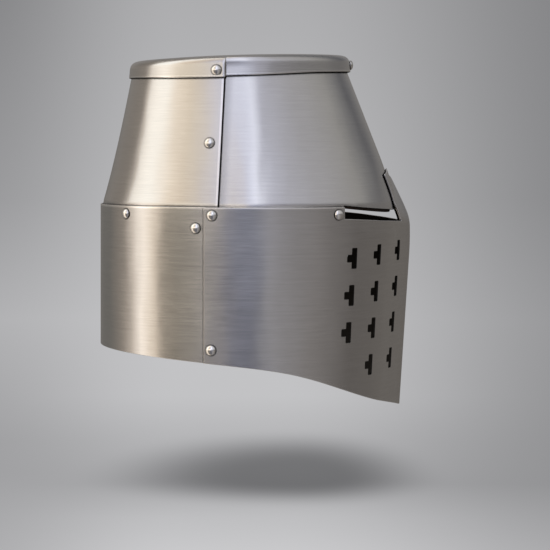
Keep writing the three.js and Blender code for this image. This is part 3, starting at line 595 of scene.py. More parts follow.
def rear_skull_surface(s, t):
    return skull_point(rear_skull_arc.turn(s), t)


def seam_side(z, lap):
    """Blank coordinate of a skull plate's upright edge at the side seam."""
    turn = skull_turn(seam_forward(z) - lap, z)
    if lap:
        return front_skull_arc.length(turn)
    return rear_skull_arc.length(2 * math.pi - turn)


def skull_sheet(half, table, surface, lap, count):
    """Adds the seam's edge and the top edge to half of a skull plate's outline, and cuts the plate."""
    top = skull_top(table.turn(seam_side(SKULL.top, lap)))
    half += [(seam_side(z, lap), z) for z in np.linspace(SKULL.foot, top, 70)]
    half += [(s, skull_top(table.turn(s))) for s in np.linspace(half[-1][0], 0, count)[1:]]
    columns = columns_to(seam_side(SKULL.foot, lap) + SPARE, GRID)
    rows = rows_to(SKULL.foot, SKULL.top + 2 * CAP.plate_up)
    return sheet(mirrored(half), [], surface, PLATE, columns, rows)


def rear_skull_sheet():
    half = [(s, SKULL.foot) for s in np.linspace(0, seam_side(SKULL.foot, 0), 60)[:-1]]
    return skull_sheet(half, rear_skull_arc, rear_skull_surface, 0, 60)


def front_skull_surface(s, t):
    turn = front_skull_arc.turn(s)
    point = skull_point(turn, t)
    seam = seam_forward(t)
    inset = LAP * (1 - smooth(seam + SEAM.start, seam + SEAM.blend, forward(point)))
    return point - inset[..., None] * skull_normals(turn, t)


brow_rear = SLIT.rear - SLIT.brow_setback


def brow_level(f):
    return SLIT.brow_end + (f - brow_rear) * (SLIT.brow_front - SLIT.brow_end) / (SLIT.far - brow_rear)


def brow_at(turn):
    """Height of the front skull plate's lower edge; it settles within a few rounds."""
    level = SLIT.brow_end
    for _ in range(4):
        level = brow_level(forward(skull_point(turn, level)))
    return level


def front_skull_sheet():
    corner = front_skull_arc.length(skull_turn(brow_rear, SLIT.brow_end))
    half = [(s, brow_at(front_skull_arc.turn(s))) for s in np.linspace(0, corner, 60)]
    for z in np.linspace(SLIT.brow_end, SKULL.foot, 14)[1:]:
        half.append((front_skull_arc.length(skull_turn(brow_rear, z)), z))
    lead(half, (seam_side(SKULL.foot, SEAM.lap), SKULL.foot), 45)
    return skull_sheet(half, front_skull_arc, front_skull_surface, SEAM.lap, 70)


# ---------------------------------------------------------------- cap


def cap_forward(turn):
    return cap_middle + cap_length * np.cos(turn)


def cap_turn(f):
    return np.arccos((f - cap_middle) / cap_length)


def cap_outline(turn, inset):
    outer = place(CAP.half * np.sin(turn), cap_forward(turn), 0)
    direction = unit(np.stack([np.sin(turn) / CAP.half, -np.cos(turn) / cap_length, 0 * turn], axis=-1))
    return outer - np.asarray(inset)[..., None] * direction


def cap_point(turn, inset, up):
    """Point of the cap from its turn, how far it lies inside the blank's rim and how high above the hem."""
    turn, inset, up = np.broadcast_arrays(turn * 1.0, inset * 1.0, up * 1.0)
    radius = CAP.blank - inset
    near_rim = cap_outline(turn, np.minimum(inset, CAP.core))
    share = np.minimum(radius / (CAP.blank - CAP.core), 1)[..., None]
    point = mix(place(0, cap_middle, 0), near_rim, share)
    f = forward(point)
    plane = mix(cap_plane(cap_middle), cap_plane(f), smooth(CAP.level, CAP.blend, radius))
    risen = np.clip(up / (CAP.flange - CAP.fold), 0, 1)
    point[..., 2] = up + DATUM + mix(rim_level(f), plane, risen)
    return point


def flange_inset(turn, up):
    """The flange leans in a little towards the fold, and steps in ahead of the seam beneath it."""
    ahead = cap_forward(turn) - CAP.step_f
    step = smooth(0, CAP.step_width, ahead) * (1 - smooth(CAP.step_width, CAP.step_fade, ahead))
    burr = np.exp(-((ahead + CAP.burr_behind) / CAP.burr_width) ** 2)
    hold = 1 - smooth(CAP.flange * CAP.hold, CAP.flange, up)
    return (CAP.step_in * step - CAP.burr * burr) * hold + CAP.lean * np.minimum(up, CAP.flange)


CAP_STEP_CLEAR = 0.008                         # even columns this close to the step's own are left out
FLANGE, LIP = 3, 4                             # finishes of the cap's flange and of its lower lip, which takes a lighter steel
QUARTER = 11                                   # points on a quarter round of the fold or a rivet


def cap_profile():
    """Closed outline of the cap's section as (inset, up), from the crown's outside round to its inside."""
    corner = 0.3 * BEVEL
    level = CAP.flange - CAP.fold
    outer_fold, inner_fold = (arc((CAP.fold, level), radius, math.pi, math.pi / 2, QUARTER)
                              for radius in (CAP.fold, CAP.fold - PLATE))

    def dome(inset):
        span = min((inset - CAP.fold) / (CAP.blank - CAP.level - CAP.fold), 1)
        return CAP.flange + (CAP.crown_height - CAP.flange) * (1 - (1 - span) ** 2)

    profile = [(inset, dome(inset)) for inset in CAP.insets[::-1]] + outer_fold[::-1]
    lead(profile, (0, CAP.lip), 5)
    profile += [(0, BEVEL), (corner, corner), (BEVEL, 0), (PLATE - BEVEL, 0), (PLATE - corner, corner)]
    profile += [(PLATE, up) for up in np.linspace(BEVEL, level, 5)[:-1]]
    return profile + inner_fold + [(inset, dome(inset) - PLATE) for inset in CAP.insets]


def ring_faces(columns, rows, wrap):
    """Quads of a grid of points whose last column joins its first, and with wrap its last row too."""
    faces = []
    for i in range(columns):
        here, there = i * rows, (i + 1) % columns * rows
        for row in range(rows if wrap else rows - 1):
            above = (row + 1) % rows
            faces.append((here + row, there + row, there + above, here + above))
    return faces


def made_part(vertices, faces, finish=None):
    """Part with vertex normals averaged from its faces, by area."""
    vertices = np.asarray(vertices, float)
    total = np.full_like(vertices, TINY)
    for face in faces:
        corner = vertices[list(face)]
        total[list(face)] += np.cross(corner[2] - corner[0], corner[-1] - corner[1])
    finish = finish or [OUTSIDE] * len(faces)
    return Named(vertices=vertices, faces=faces, finish=finish, normals=unit(total))


def cap_part():
    profile = cap_profile()
    near_step = cap_turn(CAP.step_f + np.array(CAP.step_columns))
    even = np.linspace(0, 2 * math.pi, CAP.columns + 1)[:-1]
    apart = np.abs(np.cos(even)[:, None] - np.cos(near_step)).min(axis=1) > CAP_STEP_CLEAR
    turns = np.sort(np.concatenate([even[apart], near_step, 2 * math.pi - near_step]))[:, None]
    inset, up = np.array(profile).T[:, None]
    ahead = cap_forward(turns) - CAP.step_f
    trim = CAP.trim * smooth(0, CAP.step_width, ahead) * (1 - smooth(*CAP.trim_fade, ahead))
    trim = trim * (1 - np.clip(up / (CAP.flange - CAP.fold), 0, 1))
    vertices = list(cap_point(turns, inset + flange_inset(turns, up), up + trim).reshape(-1, 3))
    rows, columns = len(profile), len(turns)
    flange = next(row for row, (_, level) in enumerate(profile) if level < CAP.flange - CAP.fold / 2)
    row_finish = [OUTSIDE if row < flange else FLANGE if profile[row][1] > CAP.lip else LIP
                  for row in range(rows // 2)] + [INSIDE] * (rows - 1 - rows // 2)
    faces = [face[::-1] for face in ring_faces(columns, rows, False)]
    finish = row_finish * columns
    for row, level, kind in ((0, CAP.crown_height, OUTSIDE), (rows - 1, CAP.crown_height - PLATE, INSIDE)):
        centre = len(vertices)
        vertices.append(place(0, cap_middle, cap_plane(cap_middle) + level))
        fan = [(centre, (i + 1) % columns * rows + row, i * rows + row) for i in range(columns)]
        faces += [face[::-1] for face in fan] if kind == OUTSIDE else fan
        finish += [kind] * columns
    return made_part(vertices, faces, finish)


# ---------------------------------------------------------------- rivets

RIVET_ROUND = 40                               # points round a rivet


def lathe(profile, point, axis):
    """Turned part whose (radius, height) profile starts and ends on its axis."""
    side = unit(np.cross(axis, [0.0, 0.0, 1.0]))
    other = np.cross(axis, side)
    radius, height = np.array(profile).T
    angles = 2 * math.pi * np.arange(RIVET_ROUND)[:, None, None] / RIVET_ROUND
    out = np.cos(angles) * side + np.sin(angles) * other
    rings = point + radius[1:-1, None] * out + height[1:-1, None] * axis
    rows = len(profile) - 2
    faces = [tuple(index + 1 for index in face[::-1]) for face in ring_faces(RIVET_ROUND, rows, False)]
    last = RIVET_ROUND * rows + 1
    for i in range(RIVET_ROUND):
        here, there = 1 + i * rows, 1 + (i + 1) % RIVET_ROUND * rows
        faces += [(0, here, there), (here + rows - 1, last, there + rows - 1)]
    ends = [point + height[0] * axis, point + height[-1] * axis]
    return made_part([ends[0], *rings.reshape(-1, 3), ends[1]], faces)


def rivet_profile(grip):
    angles = np.linspace(0, math.pi / 2, QUARTER)[1:-1]
    seat, nick = RIVET.seat, RIVET.nick
    profile = [(0, RIVET.rise)]
    profile += [(RIVET.head * math.sin(a), mix(RIVET.lip, RIVET.rise, math.cos(a))) for a in angles]
    profile += [(RIVET.head, RIVET.lip), (RIVET.head, seat), (RIVET.head - RIVET.under, seat - nick),
                (RIVET.shank, seat - 2 * nick), (RIVET.shank, -grip), (RIVET.tail, -grip - nick)]
    profile += [(RIVET.tail * math.cos(a), -grip - RIVET.tail_height * math.sin(a)) for a in angles]
    return profile + [(0, -grip - RIVET.tail_height)]


def flush_profile(grip):
    brow, nick = RIVETS.brow, RIVET.nick
    tail = -grip - RIVET.tail_height
    return [(0, -brow.below), (brow.head - brow.chamfer, -brow.below), (brow.head, -brow.below - brow.drop),
            (RIVET.shank, -brow.countersink), (RIVET.shank, -grip), (RIVET.tail, -grip - nick),
            (RIVET.tail, tail), (0, tail - brow.drop)]


def on_neck(f, z, side):
    x = side * NECK.half * math.sqrt(1 - (f / NECK.rear) ** 2)
    return place(x, f, z), unit(np.array([x / NECK.half ** 2, -f / NECK.rear ** 2, 0]))


def on_face(f, z, side):
    turn = side * face_turn(f, z)
    return face_point(turn, z), normals(face_point, turn, z, TURN_STEP)


def on_cap(turn):
    f = cap_forward(turn)
    sag = cap_plane(f) - rim_level(f)
    up = RIVETS.cap_up / (1 + sag / (CAP.flange - CAP.fold))
    inset = flange_inset(turn, up)
    point = cap_point(turn, inset, up)
    return point, unit((point - cap_point(turn, inset + 1, up)) * [1, 1, 0])


def on_seam(side):
    spot = RIVETS.seam
    turn = side * skull_turn(seam_forward(spot.z) - spot.behind, spot.z)
    return skull_point(turn, spot.z), skull_normals(turn, spot.z)


def add_rivet(name, spot, grip, profile=rivet_profile):
    piece(name, [lathe(profile(grip), *spot)], [rivet_steel], SHELL, "")


def add_rivets():
    spots, middle = RIVETS, np.float64(0)
    add_rivet("rivet_cap_front", on_cap(middle), spots.cap_front.grip)
    for side, word in ((-1, "right"), (1, "left")):
        add_rivet(f"rivet_cap_{word}", on_cap(side * cap_turn(spots.cap_side.f)), spots.cap_side.grip)
        add_rivet(f"rivet_skull_seam_{word}", on_seam(side), spots.seam.grip)
        for kind, holder, spot, z in (
                ("band_rear", on_neck, spots.band_rear, spots.band),
                ("strap", on_neck, spots.strap, spots.strap.z),
                ("hem", on_face, spots.hem, spots.hem.z),
                ("band_side", on_face, spots.band_side, spots.band),
                ("band_front", on_face, spots.band_front, spots.band)):
            add_rivet(f"rivet_{kind}_{word}", holder(spot.f, z, side), spot.grip)
    brow = face_point(middle, spots.brow.z), normals(face_point, middle, spots.brow.z, TURN_STEP)
    add_rivet("rivet_brow", brow, spots.brow.grip, flush_profile)


# ---------------------------------------------------------------- liner

LEATHER = 2.2
LINER = Named(inset=4.6, foot=178, top=206, tabs=((-106, 5), (-34, 5), (68.7, 10)), tab_foot=158.5,
              tab_corner=3, brow_drop=2.0, brow_start=60, join=0.4, petals=8, petal_root=0.3,
              petal_tip=0.22, petal_set=3.7, petal_drop=6, petal_length=92, petal_bevel=0.4, bevel=0.7,
              crown=258, tip_radius=30, lace_from=0.6, lace_radius=38, lace_level=256.3, lace=1.2,
              lace_hole=1.6, weave=2.6, weave_turn=0.115, weave_snap=2.2)

liner_arc = arc_table(skull_point, -math.pi - ARC.liner, math.pi + ARC.liner, ARC.liner_level)


def liner_point(turn, z, inset=LINER.inset):
    return skull_point(turn, z) - inset * skull_normals(turn, z)


def liner_surface(s, t):
    return liner_point(liner_arc.turn(s), t)


def liner_foot(s):
    """Lower edge of the band, which comes down in front to show under the skull's edge; its dark leather
    there also stands in as painted shade under the brow.
    """
    f = forward(liner_surface(np.float64(s), LINER.foot))
    return mix(LINER.foot, brow_level(f) - LINER.brow_drop, smooth(LINER.brow_start, SLIT.rear, f))


def liner_band():
    reach = liner_arc.length(math.pi) - LINER.join
    corner = LINER.tab_corner
    half = [(0.0, liner_foot(0.0))]
    for f, wide in reversed(LINER.tabs):
        middle = liner_arc.length(skull_turn(f, RIVETS.band))
        half += [(s, liner_foot(s)) for s in np.linspace(half[-1][0], middle - wide, 30)[1:]]
        for side, start in ((-1, math.pi), (1, -math.pi / 2)):
            centre = (middle + side * (wide - corner), LINER.tab_foot + corner)
            half += arc(centre, corner, start, start + math.pi / 2, 4)
        half.append((middle + wide, LINER.foot))
    lead(half, (reach, LINER.foot), 20)
    lead(half, (reach, LINER.top), 12)
    lead(half, (0, LINER.top), 120)
    rows = rows_to(LINER.tab_foot, LINER.top)
    return sheet(mirrored(half), [], liner_surface, LEATHER, columns_to(reach, GRID), rows, LINER.bevel)


def petal_half(share):
    """Half of the turn that a petal covers, at a share of its length."""
    return mix(LINER.petal_root, LINER.petal_tip, share)


def petal_width(share):
    return 2 * petal_half(share) * mix(SKULL.half, LINER.tip_radius, share)


def about_crown(radius, angle, z):
    return place(radius * np.sin(angle), SKULL.centre + radius * np.cos(angle), z)


def petal_surface(middle):
    def surface(s, t):
        share = t / LINER.petal_length
        angle = middle + 2 * petal_half(share) * s / petal_width(share)
        bottom = LINER.top - LINER.petal_drop
        root = liner_point(angle, bottom, LINER.inset + LINER.petal_set)
        tip = about_crown(LINER.tip_radius, angle, 0)
        point = mix(root, tip, 1 - np.cos(math.pi / 2 * share)[..., None])
        point[..., 2] = DATUM + mix(bottom, LINER.crown, np.sin(math.pi / 2 * share))
        return point
    return surface


def petal_sheet(index):
    surface = petal_surface(2 * math.pi * index / LINER.petals)
    long = LINER.petal_length
    tip_half = petal_width(1) / 2
    tip_start = long - tip_half
    side = [(petal_width(t / long) / 2, t) for t in np.linspace(0, tip_start, 40)]
    half = [(0.0, 0.0)]
    lead(half, side[0], 14)
    half += side[1:]
    reach = side[-1][0]
    half += [(reach * math.cos(a), tip_start + tip_half * math.sin(a))
             for a in np.linspace(0, math.pi / 2, 10)[1:]]
    share = np.linspace(LINER.lace_from, 1, 81)
    radius = np.hypot(*(surface(0 * share, share * long)[:, :2] - [0, -SKULL.centre]).T)
    lace_t = np.interp(-LINER.lace_radius, -radius, share) * long
    lace_s = LINER.lace_radius * LINER.weave_turn
    holes = [circle((sign * lace_s, lace_t), LINER.lace_hole, 14) for sign in (-1, 1)]
    columns = GRID * np.arange(-8, 9)
    return sheet(mirrored(half), holes, surface, LEATHER, columns, rows_to(0, long), LINER.petal_bevel)


def sweep(path, section, closed=True, up=(0, 0, 1)):
    """Part with a closed section, given as (sideways, upward) offsets at each point of a path."""
    if closed:
        along = unit(np.roll(path, -1, axis=0) - np.roll(path, 1, axis=0))
    else:
        along = unit(np.gradient(path, axis=0))
    side = unit(np.cross(along, up))
    upward = np.cross(side, along)
    sections = np.broadcast_to(section, (len(path), *section.shape[-2:]))
    grid = path[:, None] + sections[..., :1] * side[:, None] + sections[..., 1:] * upward[:, None]
    count, rows = grid.shape[:2]
    faces = ring_faces(count, rows, True)
    if not closed:
        ends = tuple(range(rows)), tuple(range(count * rows - 1, (count - 1) * rows - 1, -1))
        faces = [*faces[:-rows], *ends]
    part = made_part(grid.reshape(-1, 3), faces)
    if enclosed_volume(part) > 0:
        return part
    return Named(vertices=part.vertices, faces=[face[::-1] for face in faces], finish=part.finish,
                 normals=-part.normals)


def enclosed_volume(part):
    total = 0.0
    for face in part.faces:
        corners = part.vertices[list(face)]
        total += np.sum(np.cross(corners[1:-1], corners[2:]) @ corners[0])
    return total


def slab_section(wide, tall, edge, count=4):
    """Rounded rectangle."""
    points = []
    for index, (x, y) in enumerate(((1, 1), (-1, 1), (-1, -1), (1, -1))):
        start = math.pi / 2 * index
        centre = (x * (wide / 2 - edge), y * (tall / 2 - edge))
        points += arc(centre, edge, start, start + math.pi / 2, count)
    return np.array(points)


def lace_part():
    angles = 2 * math.pi * np.arange(320) / 320
    lift = np.cos(LINER.petals * angles) - math.cos(LINER.petals * LINER.weave_turn)
    level = LINER.lace_level + LINER.weave * np.tanh(LINER.weave_snap * lift)
    return sweep(about_crown(LINER.lace_radius, angles, level), circle((0, 0), LINER.lace, 14))


# ---------------------------------------------------------------- chin strap

STRAP = Named(width=16, clear=7.8, hang=88, tilt=-0.085, short_hang=62, fold_gap=3.4, tail=-8, holes=5,
              hole_pitch=10, hole_radius=1.6, doubled=16, slot=5, slot_ahead=7.5, slot_behind=13,
              slot_corner=1.5, edge=0.7, straight=12, bend=((0.6, 8.5), (1.9, 5)),
              wrap=(0.35, -math.pi - 0.45), rejoin=((-0.5, 6.3), (0, 9)))
KEEPER = Named(height=8, thick=1.5, gap=0.5, bevel=0.5, right_level=-34, left_level=-22)
BUCKLE = Named(bar=1.3, clear=0.45, wide=24, tall=20, corner=2.5)
PRONG = Named(thick=1.1, wide=3, clear=0.3, bevel=0.4, arm_bevel=0.45, taper=0.35, past=0.6, rest=0.9,
              lean=0.1, falls=(3, 8, 13), tip=3, steps=40)

TAIL = 4                                       # length of a strap's shaped lower end
TAIL_POINT = ((1, TAIL), (0.8, 1.6), (0.4, 0.4), (0, 0))       # share of half the width, and height

leg_centre = -STRAP.clear - LEATHER / 2
loop_inner = BUCKLE.bar * math.sqrt(2) + BUCKLE.clear


def strap_space(side):
    """Turns (along the wall, outward, up the strap) at a strap rivet into row-frame millimetres."""
    point, outward = on_neck(RIVETS.strap.f, RIVETS.strap.z, side)
    up = np.array([0.0, 0.0, 1.0])
    along = np.cross(outward, up)
    cosine, sine = math.cos(STRAP.tilt), math.sin(STRAP.tilt)

    def to_row(x, y, z):
        x, y, z = (value[..., None] for value in np.broadcast_arrays(x, y, z))
        return point + x * along + (y * cosine - z * sine) * outward + (y * sine + z * cosine) * up
    return to_row


def path_table(points):
    """Place on a planar path as a function of how far below its start it lies along the path."""
    lengths = path_lengths(points)
    y, z = np.array(points, float).T
    return Named(
        total=lengths[-1],
        y=lambda t: np.interp(-t, lengths, y),
        z=lambda t: np.interp(-t, lengths, z),
    )


def strap_sheet(side, path, holes, tail):
    """Strap with a round head about its rivet; tail(half width, end) closes its lower end."""
    space = strap_space(side)
    lift, half = STRAP.width, STRAP.width / 2
    table = path_table([(path[0][0], lift), *path])

    def surface(s, t):
        return space(-s, table.y(t - lift), table.z(t - lift))

    end = lift - table.total
    outline = arc((0, 0), half, math.pi / 2, math.pi, 12)
    outline += [(-half, t) for t in np.arange(-CUT, end + TAIL, -CUT)]
    outline += tail(half, end)
    outline += [(half, t) for t in np.arange(end + TAIL, 0, CUT)]
    outline += arc((0, 0), half, 0, math.pi / 2, 12)[:-1]
    columns = np.arange(-half + 2, half, 2.0)
    everything = [circle((0, 0), RIVET.hole, 16), *holes]
    return sheet(outline, everything, surface, LEATHER, columns, np.arange(end, half, CUT), STRAP.edge)


def square_tail(half, end):
    return [(s, end) for s in np.linspace(-half, half, 9)]


def pointed_tail(half, end):
    points = [(-half * share, end + above) for share, above in TAIL_POINT]
    return points + [(-s, t) for s, t in points[-2::-1]]


def short_strap():
    """The half that carries the buckle: it passes round the frame's bar and up again behind itself."""
    level = -STRAP.short_hang
    front, back = leg_centre + LEATHER / 2, leg_centre - 1.5 * LEATHER
    path = [(front, 0), (front, level + STRAP.straight)]
    path += [(front + y, level + z) for y, z in STRAP.bend]
    path += arc((leg_centre, level), loop_inner + LEATHER, *STRAP.wrap, 24)
    path += [(back + y, level + z) for y, z in STRAP.rejoin]
    path.append((back, level + loop_inner + STRAP.doubled))
    table = path_table(path)
    lengths = np.linspace(0, table.total, 400)
    lowest = -lengths[np.argmin(table.z(-lengths))]
    half, below, above = STRAP.slot / 2, lowest - STRAP.slot_behind, lowest + STRAP.slot_ahead
    slot = softened([(-half, below), (half, below), (half, above), (-half, above)], STRAP.slot_corner)
    return strap_sheet(-1, path, [divided(slot, CUT)], square_tail)


def long_strap():
    """The half with the holes, which hangs down and is folded up behind itself."""
    outer = STRAP.fold_gap / 2 + LEATHER
    middle, bottom = -STRAP.clear - outer, outer - STRAP.hang
    path = [(-STRAP.clear, 0), (-STRAP.clear, bottom + 2), *arc((middle, bottom), outer, 0, -math.pi, 24),
            (middle - outer, bottom + 2), (middle - outer, STRAP.tail)]
    end = -path_table(path).total
    levels = end + STRAP.hole_pitch * (2 + np.arange(STRAP.holes))
    holes = [circle((0, level), STRAP.hole_radius, 14) for level in levels]
    return strap_sheet(1, path, holes, pointed_tail)


def keeper_part(side, stack, middle, level):
    space = strap_space(side)
    around = 2 * KEEPER.gap + KEEPER.thick
    deep = stack + around
    x, y = divided(slab_section(STRAP.width + around, deep, deep / 3, 6), CUT).T
    up = space(0, 0, 1) - space(0, 0, 0)
    section = slab_section(KEEPER.thick, KEEPER.height, KEEPER.bevel)
    return sweep(space(x, middle + y, level), section, up=up)


def buckle_part():
    space = strap_space(-1)
    wide, tall = BUCKLE.wide - 2 * BUCKLE.bar, BUCKLE.tall - 2 * BUCKLE.bar
    middle = -STRAP.short_hang + BUCKLE.bar - BUCKLE.tall / 2
    x, z = divided(slab_section(wide, tall, BUCKLE.corner, 6), 1.0).T
    outward = space(0, 1, 0) - space(0, 0, 0)
    return sweep(space(x, leg_centre, middle + z), circle((0, 0), BUCKLE.bar, 14), up=outward)


def prong_parts():
    """An eye round the buckle's bar and a tapered tongue that rests on the frame's lower bar."""
    space = strap_space(-1)
    sideways = space(1, 0, 0) - space(0, 0, 0)
    level = -STRAP.short_hang
    eye_middle = BUCKLE.bar * math.sqrt(2) + PRONG.clear + PRONG.thick / 2
    ring = space(0, *circle((leg_centre, level), eye_middle, 32).T)
    eye = sweep(ring, slab_section(PRONG.thick, PRONG.wide, PRONG.bevel), up=sideways)
    lower = level + BUCKLE.bar - BUCKLE.tall - PRONG.past
    start, rest = leg_centre - eye_middle, leg_centre - BUCKLE.bar - PRONG.rest
    places = (start - PRONG.lean, mix(start, rest, 0.5), rest)
    reach = np.array([(start, level), *((y, level - fall) for y, fall in zip(places, PRONG.falls)),
                      (rest, lower + PRONG.tip), (rest, lower)])
    spots = np.linspace(0, len(reach) - 1, PRONG.steps)
    y, z = (np.interp(spots, np.arange(len(reach)), values) for values in reach.T)
    size = 1 - PRONG.taper * np.linspace(0, 1, PRONG.steps) ** 2
    sections = slab_section(PRONG.thick, PRONG.wide, PRONG.arm_bevel) * size[:, None, None]
    return [eye, sweep(space(0, y, z), sections, False, sideways)]


# ---------------------------------------------------------------- finishes


def feed(tree, made, inputs):
    """Sets a node's inputs; each may be a value or another node's output."""
    for key, value in inputs.items():
        if isinstance(value, bpy.types.NodeSocket):
            tree.links.new(value, made.inputs[key])
        else:
            made.inputs[key].default_value = value


def node(tree, kind, inputs=None, **settings):
    made = tree.nodes.new(kind)
    for key, value in settings.items():
        setattr(made, key, value)
    feed(tree, made, inputs or {})
    return made


def calc(tree, operation, first, second=0.0):
    return node(tree, "ShaderNodeMath", {0: first, 1: second}, operation=operation).outputs[0]


def times(tree, first, second):
    return calc(tree, "MULTIPLY", first, second)


def between(tree, value, low, high, from_low=0.0, from_high=1.0, kind="LINEAR"):
    inputs = {"Value": value, "From Min": from_low, "From Max": from_high, "To Min": low, "To Max": high}
    return node(tree, "ShaderNodeMapRange", inputs, interpolation_type=kind).outputs["Result"]


def colour_mix(tree, share, first, second, blend="MIX"):
    inputs = {0: share, 6: first, 7: second}
    return node(tree, "ShaderNodeMix", inputs, data_type="RGBA", blend_type=blend).outputs[2]


def coordinates(tree, kind="Object"):
    return node(tree, "ShaderNodeTexCoord").outputs[kind]


def split(tree, kind):
    return node(tree, "ShaderNodeSeparateXYZ", {0: coordinates(tree, kind)}).outputs


def object_noise(tree, scale, detail=2.0, rough=0.5, size=1.0, seed=0.0):
    """Noise over the object's own metres, stretched by a scale for each axis."""
    spot = {"Vector": coordinates(tree), "Scale": scale, "Location": (seed, seed, seed)}
    mapped = node(tree, "ShaderNodeMapping", spot).outputs["Vector"]
    inputs = {"Vector": mapped, "Scale": size, "Detail": detail, "Roughness": rough}
    return node(tree, "ShaderNodeTexNoise", inputs).outputs["Fac"]


def bump(tree, height, strength, distance, below=None):
    """Normal of a surface raised by a height, on top of another bump's normal where one is given."""
    inputs = {"Height": height, "Strength": strength, "Distance": distance}
    if below:
        inputs["Normal"] = below
    return node(tree, "ShaderNodeBump", inputs).outputs["Normal"]


def new_material(name):
    material = bpy.data.materials.new(name)
    material.use_nodes = True
    tree = material.node_tree
    return material, tree, tree.nodes["Principled BSDF"]


def srgb(*channels):
    """Linear colour from sRGB channels of 0 to 255."""
    def linear(share):
        return share / 12.92 if share <= 0.04045 else ((share + 0.055) / 1.055) ** 2.4
    return (*(linear(value / 255) for value in channels), 1.0)


def helm_place(tree):
    """How far forward and how high the shaded point is, in the plates' millimetres."""
    axes = split(tree, "Object")
    return times(tree, axes[1], -1 / MM), calc(tree, "SUBTRACT", calc(tree, "DIVIDE", axes[2], MM), DATUM)


def painted_edge_highlight(tree, shine, low, high):
    """Factor for a painted highlight: a bright line between two heights, which ends where the eye slit
    starts.
    """
    f, z = helm_place(tree)
    behind_slit = between(tree, f, 1.0, 0.0, SLIT.rear - EDGE_HIGHLIGHTS.fade, SLIT.rear)
    above = between(tree, z, 0.0, 1.0, low - EDGE_HIGHLIGHTS.fade, low)
    below = between(tree, z, 1.0, 0.0, high, high + EDGE_HIGHLIGHTS.fade)
    return between(tree, times(tree, behind_slit, times(tree, above, below)), 1.0, shine)


# Painted highlight along the top edge of the face and neck plates.
def band_painted_highlight(tree):
    return painted_edge_highlight(tree, EDGE_HIGHLIGHTS.band_shine, *EDGE_HIGHLIGHTS.band)


def seam_painted_light(tree):
    """Factor for the skull plates' colour: a painted highlight behind the side seam, and ahead of it a
    painted black shadow in the gap and a softer painted shade beyond; it also takes the painted highlight
    just above the band.
    """
    f, z = helm_place(tree)
    above = calc(tree, "MAXIMUM", calc(tree, "SUBTRACT", z, SEAM.band_level), 0.0)
    ahead = calc(tree, "SUBTRACT", calc(tree, "SUBTRACT", f, SEAM.at_band), times(tree, above, SEAM.rise))
    worn = between(tree, ahead, 1.0, SEAM_PAINTED_LIGHT.worn_shine, *SEAM_PAINTED_LIGHT.worn, "SMOOTHSTEP")
    gap = between(tree, ahead, SEAM_PAINTED_LIGHT.gap_shade, 1.0, *SEAM_PAINTED_LIGHT.gap, "SMOOTHSTEP")
    shadow = between(tree, ahead, SEAM_PAINTED_LIGHT.shadow_shade, 1.0, *SEAM_PAINTED_LIGHT.shadow, "SMOOTHSTEP")
    is_ahead = calc(tree, "GREATER_THAN", ahead, 0.0)
    across = between(tree, is_ahead, worn, times(tree, gap, shadow))
    return times(tree, across, painted_edge_highlight(tree, EDGE_HIGHLIGHTS.skull_shine, *EDGE_HIGHLIGHTS.skull))


def painted_crevice_shade(tree, at_skull_foot):
    """Factor that paints shade into the narrow gaps between pieces from ambient occlusion, less dark at the
    skull plates' foot.
    """
    near = node(tree, "ShaderNodeAmbientOcclusion", {"Distance": CREVICE_SHADE.reach}, samples=CREVICE_SHADE.samples)
    darkest = CREVICE_SHADE.darkest
    if at_skull_foot:
        z = helm_place(tree)[1]
        darkest = between(tree, z, FOOT_CREVICE_SHADE.darkest, CREVICE_SHADE.darkest, *FOOT_CREVICE_SHADE.levels)
    return between(tree, near.outputs["AO"], darkest, 1.0, *CREVICE_SHADE.span, "SMOOTHSTEP")


def steel(name, brush, tint, roughness, anisotropy, seed, crevice_shade=True, painted_light=None):
    """Brushed steel whose streaks run the way that the brush's two scales stretch them."""
    material, tree, shader = new_material(name)
    coarse, fine = (object_noise(tree, scale, detail, 0.6, seed=seed + shift)
                    for scale, detail, shift in ((brush.coarse, 3.0, 0), (brush.fine, 2.0, 7)))
    cloud = object_noise(tree, EVEN, 3.0, size=CLOUD.size, seed=seed + 3)
    streak = calc(tree, "ADD", times(tree, coarse, STREAK.coarse_share),
                  times(tree, fine, STREAK.fine_share))
    contrast = between(tree, streak, 0.0, 1.0, *STREAK.span)
    dark, light = ((*(min(1.0, channel * factor) for channel in tint), 1.0)
                   for factor in (STREAK.dark, STREAK.light))
    colour = colour_mix(tree, contrast, dark, light)
    colour = colour_mix(tree, between(tree, cloud, 0.0, CLOUD.share, *CLOUD.span), colour, dark)
    # Painted shade in narrow gaps, from ambient occlusion, multiplied into the colour.
    if crevice_shade:
        colour = colour_mix(tree, 1.0, colour, painted_crevice_shade(tree, painted_light is seam_painted_light), "MULTIPLY")
    # Painted highlights and shade along edges and seams, multiplied into the colour.
    if painted_light:
        colour = colour_mix(tree, 1.0, colour, painted_light(tree), "MULTIPLY")
    rough = calc(tree, "ADD", between(tree, contrast, roughness - STREAK.rough, roughness + STREAK.rough),
                 between(tree, cloud, *CLOUD.rough, *MIDDLE_SPAN))
    wave = object_noise(tree, WAVE.scale, 1.5, 0.4, size=WAVE.size, seed=seed + 11)
    wave = bump(tree, wave, *WAVE_BUMP)
    feed(tree, shader, {"Base Color": colour, "Metallic": 1.0, "Roughness": rough,
                        "Anisotropic": anisotropy, "Normal": bump(tree, streak, *STREAK_BUMP, wave)})
    if anisotropy:
        tangent = node(tree, "ShaderNodeTangent", direction_type="RADIAL", axis="Z").outputs["Tangent"]
        feed(tree, shader, {"Tangent": tangent, "Anisotropic Rotation": 0.25})
    return material


